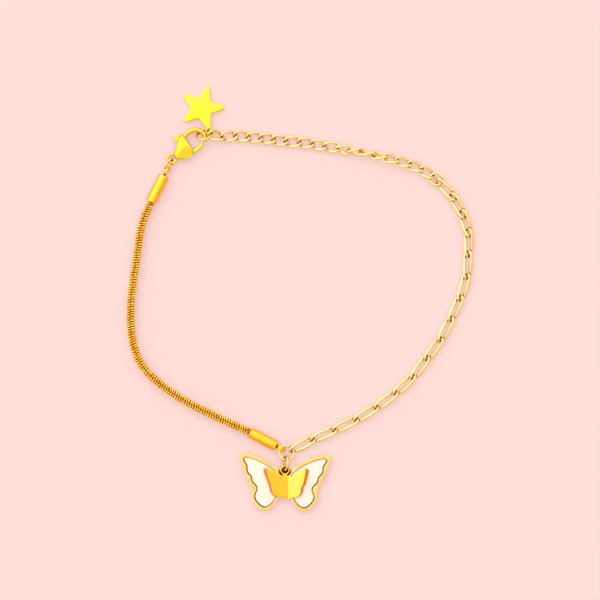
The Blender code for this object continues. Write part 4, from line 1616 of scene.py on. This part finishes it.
# Butterfly pendant
@dataclass(frozen=True)
class ButterflyPendant:
    """A butterfly frame with shell inlays, an eyelet and a small folded butterfly.

    The frame's and the shell's tables hold one half of each outline, as shares of half the span
    and of the height. The small wings' tables are in millimetres. Heights are from the surface,
    apart from those of the tongue, well_top and wing_well, which are from the eyelet's middle.
    A skirt row is a share of the way out and a drop from the wing's top. An outline is smoothed in
    so many steps between two points of its table, and then spaced evenly.
    """

    span: float = 19.3
    tall: float = 12.0
    bearing: float = -1.2
    tip_at: float = 0.95
    foot: float = 0.02
    plate: float = 0.95
    rim: float = 1.25
    rim_edge: float = 0.13
    smooth: int = 4
    frame_step: float = 0.28
    inlay: float = 0.5
    inlay_lift: float = 0.05
    inlay_edge: float = 0.1
    inlay_crease: float = 50.0
    inlay_shift: Span = (0.06, 0.06)
    pocket_smooth: int = 3
    pocket_step: float = 0.22
    groove: float = 0.11
    wing_base: float = 1.0
    wing_thickness: float = 0.45
    wing_rise: float = 0.95
    wing_curve: float = 1.3
    wing_bevel: float = 0.7
    wing_gap: float = 0.015
    wing_step: float = 0.3
    wing_lip: Span = (0.05, 0.15)
    wing_well: Span = (-1.2, 3.0)
    skirt: Table = ((0.0, 0.05), (0.12, 0.14))
    skirt_weld: float = 0.002
    skirt_crease: float = 35.0
    fold: float = 0.7
    eyelet_share: float = 0.229
    eyelet_outer: float = 1.0
    eyelet_bore: float = 0.7
    eyelet_height: float = 0.5
    eyelet_edge: float = 0.14
    eyelet_z: float = 1.3
    tongue_half: float = 0.5
    tongue_reach: Span = (-0.85, 0.05)
    tongue_heights: Span = (-0.2, 0.16)
    well: float = 1.35
    well_sides: int = 48
    well_floor: float = 0.12
    well_top: float = 2.0
    lug_top: float = 0.075
    lug_sides: int = 40
    lug_chamfer: Span = (0.03, 0.02)
    frame_half: Table = (
        (0.0, 0.16), (0.10, 0.19), (0.145, 0.26), (0.245, 0.295), (0.39, 0.362),
        (0.535, 0.432), (0.68, 0.475), (0.826, 0.502), (0.95, 0.505), (0.995, 0.478),
        (0.985, 0.425), (0.943, 0.315), (0.898, 0.205), (0.845, 0.105), (0.79, 0.02),
        (0.735, -0.06), (0.713, -0.12), (0.718, -0.19), (0.700, -0.28), (0.64, -0.38),
        (0.54, -0.455), (0.42, -0.478), (0.32, -0.455), (0.235, -0.395), (0.17, -0.31),
        (0.12, -0.24), (0.06, -0.222), (0.0, -0.215),
    )
    shell_half: Table = (
        (0.10, -0.20), (0.10, 0.10), (0.24, 0.235), (0.345, 0.292), (0.45, 0.335),
        (0.60, 0.392), (0.74, 0.428), (0.845, 0.446), (0.905, 0.425), (0.915, 0.39),
        (0.87, 0.33), (0.835, 0.28), (0.838, 0.21), (0.80, 0.15), (0.745, 0.11),
        (0.728, 0.045), (0.70, -0.005), (0.645, -0.045), (0.605, -0.10), (0.625, -0.16),
        (0.655, -0.215), (0.645, -0.29), (0.58, -0.365), (0.49, -0.42), (0.41, -0.435),
        (0.32, -0.40), (0.24, -0.335), (0.175, -0.25),
    )
    left_wing: Table = (
        (0.7, -3.05), (0.7, 1.0), (-0.6, 1.75), (-1.95, 2.35), (-3.2, 2.8), (-4.15, 3.0),
        (-4.5, 2.75), (-4.4, 2.15), (-3.95, 1.0), (-3.5, -0.1), (-3.2, -1.1), (-2.9, -2.0),
        (-2.3, -2.65), (-1.3, -3.0), (-0.3, -3.1),
    )
    right_wing: Table = (
        (0.7, -3.05), (0.7, 1.0), (1.7, 1.6), (2.95, 2.3), (4.1, 2.95), (4.75, 3.05),
        (5.0, 2.75), (4.95, 2.15), (4.65, 0.8), (4.35, -0.3), (3.95, -0.85), (3.9, -1.6),
        (3.55, -2.4), (2.8, -2.85), (1.9, -3.0), (1.2, -3.1),
    )

    def place(self) -> Matrix:
        """The pendant's placement, as its solid lies.

        Returns:
            The placement.
        """
        low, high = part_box("butterfly_pendant")
        middle = (low + high) / 2 / MM
        top = max(y for _, y in self.frame_half) * self.tall
        tip = self.tip_at * self.span / 2 * math.sin(math.radians(-self.bearing))
        spot = Vector((middle.x, high.y / MM - top - tip, MIDDLE.z))
        return Matrix.Translation(spot) @ turned_about("Z", self.bearing)

    def eyelet(self, place: Matrix) -> Matrix:
        """The eyelet's placement, from the pendant's."""
        return place @ Matrix.Translation((0, self.tall * self.eyelet_share, self.eyelet_z))

    def half(self, table: Table, side: int) -> Outline:
        """A table's outline on one side, in millimetres."""
        return flat(table, side * self.span / 2, self.tall)

    def pocket(self, side: int) -> Outline:
        """The outline of the pocket for the inlay on one side."""
        curve = spline(self.half(self.shell_half, side), self.pocket_smooth, True)
        return evenly_closed(curve, self.pocket_step)

    def cut_well(self, item: bpy.types.Object, place: Matrix, heights: Span) -> None:
        """Cuts the round well that the eyelet stands in.

        Args:
            item: The object that is cut.
            place: The pendant's placement.
            heights: The cut's lowest and highest height about the eyelet's middle.
        """
        low, high = heights
        disc = circle(self.well, self.well_sides)
        well = Form()
        well.add(slab(disc, [(0, low), (0, high)]), self.eyelet(place))
        # The well's walls take its finish, nearly black as painted shade
        carve(item, well.object("well_cutter", WELL_SHADE_GOLD))

    def build_frame(self, place: Matrix) -> None:
        """Makes the frame with its raised rim and inlay pockets.

        Args:
            place: The pendant's placement.
        """
        left, right = self.half(self.frame_half, -1), self.half(self.frame_half, 1)
        outline = evenly_closed(spline(left + right[-2:0:-1], self.smooth, True), self.frame_step)
        form = Form()
        form.add(slab(outline, [(0, self.foot), (0, self.rim)]), place)
        made = form.object("butterfly_frame", RIM_GOLD)
        # The pockets' walls and floor take the cutter's dark finish, painted shade
        for side in (-1, 1):
            rows = [(0, self.plate - self.inlay), (0, self.rim + 1)]
            cutter = Form()
            cutter.add(slab(self.pocket(side), rows), place)
            carve(made, cutter.object("pocket_cutter", GROOVE_SHADE_GOLD))
        self.cut_well(made, place, (self.well_floor - self.eyelet_z, self.well_top))
        soften(made, self.rim_edge)
        settle(made, "butterfly_pendant")

    def build_eyelet(self, place: Matrix) -> None:
        """Makes the lug under the eyelet, and the eyelet with its tongue.

        Args:
            place: The pendant's placement.
        """
        hole = self.eyelet(place)
        chamfer, rise = self.lug_chamfer
        rows = [(chamfer, self.foot), (0, self.foot + rise), (0, self.lug_top)]
        lug = Form()
        disc = circle(self.eyelet_outer, self.lug_sides)
        lug.add(slab(disc, [(d, z - self.eyelet_z) for d, z in rows]), hole)
        # The lug is nearly black, painted shade under the eyelet
        lug.piece("butterfly_lug", WELL_SHADE_GOLD, "butterfly_pendant")
        collar = Form()
        height, edge = self.eyelet_height, self.eyelet_edge
        collar.add(washer(self.eyelet_outer, self.eyelet_bore, height, edge), hole)
        half, near = self.tongue_half, -(self.eyelet_outer + self.eyelet_bore) / 2
        low, high = (near + reach for reach in self.tongue_reach)
        tongue = flat(((-half, low), (half, low), (half, high), (-half, high)))
        collar.add(slab(tongue, [(0, z) for z in self.tongue_heights]), hole)
        collar.piece("butterfly_eyelet", POLISHED_GOLD, "butterfly_pendant")

    def build_shells(self, place: Matrix) -> None:
        """Makes the two mother-of-pearl inlays.

        Args:
            place: The pendant's placement.
        """
        floor = self.plate - self.inlay + self.inlay_lift
        rows = soft_rows(floor, self.plate, self.inlay_edge)
        for side, node in ((-1, "shell_left"), (1, "shell_right")):
            shift = Vector((-side * self.inlay_shift[0], self.inlay_shift[1], 0))
            form = Form()
            outline = [p + shift for p in inset(self.pocket(side), self.groove)]
            form.add(slab(outline, rows), place)
            form.piece(f"{node}_inlay", SHELL, node, self.inlay_crease)

    def wing(self, side: int) -> tuple[Table, float]:
        """A small wing's table and its width from the fold.

        Args:
            side: -1 for the left wing and 1 for the right one.

        Returns:
            The table and the width.
        """
        table = self.left_wing if side < 0 else self.right_wing
        return table, max(abs(x - self.fold) for x, _ in table)

    def wing_height(self, point: Vector, side: int) -> float:
        """Height of a small wing's top, which bends up from the fold.

        Args:
            point: The point.
            side: The wing's side.

        Returns:
            The height.
        """
        share = min(1.0, abs(point.x - self.fold) / self.wing(side)[1])
        return self.plate + self.wing_thickness + self.wing_rise * share ** self.wing_curve

    def small_outline(self, side: int, narrower: float) -> Outline:
        """One small wing's outline, made narrower towards its tip.

        Args:
            side: The wing's side.
            narrower: How much narrower.

        Returns:
            The outline's points, before they are smoothed.
        """
        table, widest = self.wing(side)
        scale = (widest - narrower) / widest
        start = self.fold + side * self.wing_gap
        return flat([(start + (x - self.fold) * scale, y) for x, y in table])

    def build_small(self, place: Matrix) -> None:
        """Makes the two wings of the small butterfly.

        Args:
            place: The pendant's placement.
        """
        drop, reach = self.wing_lip
        # Painted shade on the left wing and painted light on the right
        wings = ((-1, "small_wing_left", WING_SHADE_GOLD), (1, "small_wing_right", WING_LIT_GOLD))
        for side, name, finish in wings:
            low, high = (
                spline(self.small_outline(side, narrower), self.smooth, True)
                for narrower in (0.0, self.wing_bevel)
            )
            points, faces = cushion(
                high,
                self.wing_step,
                lambda d, p, s=side: self.wing_height(p, s) - drop * max(0.0, 1 - d / reach) ** 2,
                lambda d, p: self.wing_base,
            )
            size = len(points) // 2
            roof = Form()
            roof.add((points[:size], [face for face in faces if max(face) < size]), place)
            piece = roof.object(name, finish)
            # The steep sides take a second finish, darker as painted shade
            piece.data.materials.append(BAND_SHADE_GOLD.material())
            self.add_skirt(piece, low, high, side, place)
            self.cut_well(piece, place, self.wing_well)
            settle(piece, "butterfly_pendant")

    def add_skirt(
        self, piece: bpy.types.Object, low: Outline, high: Outline, side: int, place: Matrix
    ) -> None:
        """Adds a wing's sloping sides and flat underside.

        Args:
            piece: The wing's roof.
            low: Its outline at the base.
            high: Its outline at the roof.
            side: -1 for the left wing and 1 for the right one.
            place: The pendant's placement.
        """
        shape = bmesh.new()
        shape.from_mesh(piece.data)
        corners = []
        for share, drop in (*self.skirt, (1.0, None)):
            for a, b in zip(high, low):
                spot = a.lerp(b, share)
                spot.z = self.wing_base if drop is None else self.wing_height(a, side) - drop
                corners.append(shape.verts.new(place @ spot * MM))
        # The sloping sides take the second finish, painted shade
        for ends in bands(len(self.skirt) + 1, len(low)):
            shape.faces.new([corners[i] for i in ends]).material_index = 1
        shape.faces.new(corners[-len(low):])
        bmesh.ops.remove_doubles(shape, verts=shape.verts, dist=self.skirt_weld * MM)
        bmesh.ops.recalc_face_normals(shape, faces=shape.faces)
        shape.to_mesh(piece.data)
        shape.free()
        smooth(piece.data, self.skirt_crease)

    def build(self) -> None:
        """Makes the whole pendant."""
        place = self.place()
        self.build_frame(place)
        self.build_eyelet(place)
        self.build_shells(place)
        self.build_small(place)


# Star tag
@dataclass(frozen=True)
class StarTag:
    """A plain star that leans on the surface from its loop on the end ring.

    A notch turn is a bearing from the point before it and a share of the notch's radius. The ring's
    sizes are those of the end ring as it lies.
    """

    points: int = 5
    radius: float = 4.69
    notch: float = 2.35
    notch_turns: Table = ((30, 1.04), (33, 1.012), (36, 1.0), (39, 1.012), (42, 1.04))
    thickness: float = 0.7
    bearing: float = 1.3
    tip: float = 0.42
    tip_turns: range = range(-75, 76, 15)
    edge: float = 0.14
    loop_diameter: float = 1.96
    loop_wire: float = 0.4
    loop_steps: int = 40
    loop_sides: int = 14
    loop_turn: float = 26.0
    lift: float = 0.03
    ring_diameter: float = 3.6
    ring_wire: float = 0.46
    ring_roll: float = -52.0
    ring_bearing: float = 16.0
    ring_left: Span = (-21.4, 34.0)
    ring_lift: float = 0.02
    finish: Finish = STAR_GOLD

    def loop_centre(self) -> Vector:
        """Where the star's loop grips the end ring.

        Returns:
            The spot, in the shared frame.
        """
        mean = (self.ring_diameter - self.ring_wire) / 2
        raised = mean * math.sin(math.radians(-self.ring_roll))
        height = raised + self.ring_wire / 2 + self.ring_lift
        centre = Vector((*self.ring_left, height)) + polar(self.ring_bearing) * mean + MIDDLE
        turn = turned_about("Z", self.ring_bearing) @ turned_about("X", self.ring_roll)
        return centre + turn @ (polar(self.loop_turn) * mean)

    def outline(self) -> Outline:
        """Its rounded points and notches about the middle.

        Returns:
            The outline.
        """
        out = []
        for i in range(self.points):
            bearing = self.bearing + 360 / self.points * i
            along, across = polar(bearing), polar(bearing + 90)
            for degrees in self.tip_turns:
                spoke = polar(degrees) * self.tip
                out.append(along * (self.radius - self.tip + spoke.x) + across * spoke.y)
            for degrees, share in self.notch_turns:
                out.append(polar(bearing + degrees) * self.notch * share)
        return out

    def build(self) -> None:
        """Makes the star with its loop."""
        loop_centre = self.loop_centre()
        along = polar(self.bearing - 360 / self.points)
        arm = self.radius + self.loop_diameter / 2 - self.loop_wire
        span = arm + self.radius * math.cos(math.pi / self.points)
        half = self.thickness / 2
        slope = math.asin((loop_centre.z - MIDDLE.z - half - self.lift) / span)
        at_loop = Matrix.Translation(loop_centre) @ Matrix.Rotation(slope, 4, along.cross(UP))
        form = Form()
        star = slab(self.outline(), soft_rows(-half, half, self.edge))
        form.add(star, at_loop @ Matrix.Translation(along * -arm))
        path = circle((self.loop_diameter - self.loop_wire) / 2, self.loop_steps)
        radii = [self.loop_wire / 2] * self.loop_steps
        form.add(sweep(path, radii, self.loop_sides, True), at_loop)
        form.piece("star_tag_satin", self.finish, "star_tag")


# Floor, light and camera
@dataclass(frozen=True)
class Lamp:
    """A square light that faces the bracelet.

    Args:
        name: Its name.
        at: Its place, in millimetres.
        size_mm: Its side.
        watts: Its power.
        colour: Its colour.
    """

    name: str
    at: tuple[float, float, float]
    size_mm: float
    watts: float
    colour: Colour

    def build(self) -> None:
        """Makes the light."""
        data = bpy.data.lights.new(self.name, "AREA")
        data.size = self.size_mm * MM
        data.energy = self.watts
        data.color = self.colour
        item = linked(self.name, data)
        item.location = Vector(self.at) * MM
        item.rotation_mode = "QUATERNION"
        item.rotation_quaternion = (-Vector(self.at)).to_track_quat("-Z", "Y")


@dataclass(frozen=True)
class Studio:
    """A pale floor, a soft overhead dome of light, and a camera straight above.

    The camera sees view_mm of the floor. The floor's faint clouds are paper waves to a metre. The
    sky's colours go from the side away from bright_side, at 0, to that side, at 1.
    """

    view_mm: float = 126.0
    centre: Span = (0.065, -0.313)
    height_mm: float = 600.0
    sensor_mm: float = 36.0
    near: float = 0.01
    floor_mm: float = 1400.0
    floor_colour: Colour = (0.46, 0.34, 0.335)
    floor_glow: float = 0.98
    floor_rough: float = 0.85
    paper: float = 12.0
    paper_span: Span = (0.35, 0.65)
    paper_share: float = 0.35
    paper_paler: float = 1.03
    dome: float = 1.32
    bright_side: tuple[float, float, float] = (-0.42, 0.55, 0.72)
    sky: tuple[tuple[float, Colour], ...] = (
        (0.0, (0.50, 0.32, 0.20)), (0.40, (0.55, 0.38, 0.26)), (0.60, (0.62, 0.52, 0.42)),
        (0.74, (0.80, 0.74, 0.66)), (0.86, (0.94, 0.92, 0.88)), (1.0, (1.0, 1.0, 0.97)),
    )
    lamps: tuple[Lamp, ...] = (
        Lamp("key", (-260, 340, 420), 420, 0.8, (1.0, 0.97, 0.92)),
        Lamp("fill", (330, 120, 380), 360, 0.2, (1.0, 0.95, 0.9)),
    )

    def build_floor(self) -> None:
        """Makes the plain floor that the bracelet lies on."""
        sheet = Form(flat(SQUARE, self.floor_mm / 2, self.floor_mm / 2), [(0, 1, 2, 3)])
        floor = linked("floor", sheet.data("floor"))
        wiring, shader = principled("pale_floor")
        paper = wiring.node("TexNoise", {"Scale": self.paper}).outputs["Fac"]
        paler = tuple(min(1.0, c * self.paper_paler) for c in self.floor_colour)
        share = wiring.between(paper, self.paper_span, 0.0, self.paper_share)
        tone = wiring.blend(share, self.floor_colour, paler)
        wiring.feed(shader, {
            "Base Color": tone,
            "Emission Color": tone,
            "Emission Strength": self.floor_glow,
            "Roughness": self.floor_rough,
        })
        floor.data.materials.append(bpy.data.materials["pale_floor"])

    def build_sky(self) -> None:
        """Makes the dome: bright overhead and to the upper left, warm and dimmer opposite."""
        world = bpy.data.worlds.new("dome")
        bpy.context.scene.world = world
        world.use_nodes = True
        wiring = Wiring(world.node_tree)
        place = wiring.node("TexCoord").outputs["Generated"]
        parts = wiring.node("SeparateXYZ", {"Vector": place})
        bright = 0.0
        for axis, share in zip("XYZ", self.bright_side):
            part = wiring.sum_of("MULTIPLY", parts.outputs[axis], share)
            bright = wiring.sum_of("ADD", part, bright)
        # From -1 to 1 becomes from 0 to 1
        along = wiring.sum_of("MULTIPLY_ADD", bright, 0.5, 0.5)
        ramp = wiring.node("ValToRGB", {"Fac": along})
        band = ramp.color_ramp
        for i, (at, colour) in enumerate(self.sky):
            stop = band.elements[i] if i < 2 else band.elements.new(at)
            stop.position = at
            stop.color = (*colour, 1.0)
        background = world.node_tree.nodes["Background"]
        wiring.feed(background, {"Color": ramp.outputs["Color"], "Strength": self.dome})

    def build_camera(self) -> None:
        """Makes the camera, straight above as in the photograph."""
        data = bpy.data.cameras.new("camera")
        data.sensor_width = self.sensor_mm
        data.lens = self.sensor_mm * self.height_mm / self.view_mm
        data.clip_start = self.near
        item = linked("camera", data)
        item.location = Vector((*self.centre, self.height_mm)) * MM
        bpy.context.scene.camera = item

    def build(self) -> None:
        """Makes the floor, the lights and the camera."""
        self.build_floor()
        self.build_sky()
        for lamp in self.lamps:
            lamp.build()
        self.build_camera()
        bpy.context.scene.view_settings.view_transform = "Standard"


def main() -> None:
    """Builds the stage, then the bracelet's pieces in order."""
    logging.basicConfig(level=logging.INFO, format="%(name)s: %(message)s")
    Studio().build()
    PopcornChain().build()
    EndCap("cap_upper", (-31.0, 20.4), 63.8, 0.6).build()
    EndCap("cap_lower", (-10.3, -27.8), -27.6, 1.0).build()
    LobsterClasp().build()
    long_links = TwistedLink(5.74, 2.08, 0.585, -51.0)
    small_links = TwistedLink(3.4, 2.37, 0.53, -46.0)
    TwistedLinks(numbered("paperclip_link", 16), long_links, LINK_GOLD).build()
    TwistedLinks(numbered("extender_link", 18), small_links, LINK_GOLD).build()
    TwistedLinks(("clasp_link",), TwistedLink(2.6, 1.85, 0.42, 34.0), SHADED_GOLD).build()
    JumpRing("centre_ring", 3.5, 3.5, 0.53, LINK_GOLD).build()
    JumpRing("extender_ring", 3.1, 3.1, 0.53, LINK_GOLD).build()
    JumpRing("end_ring", 3.6, 3.6, 0.46, SHADED_GOLD).build()
    JumpRing("pendant_ring", 3.3, 2.5, 0.47, SHADED_GOLD).build()
    ButterflyPendant().build()
    StarTag().build()


if __name__ == "__main__":
    main()
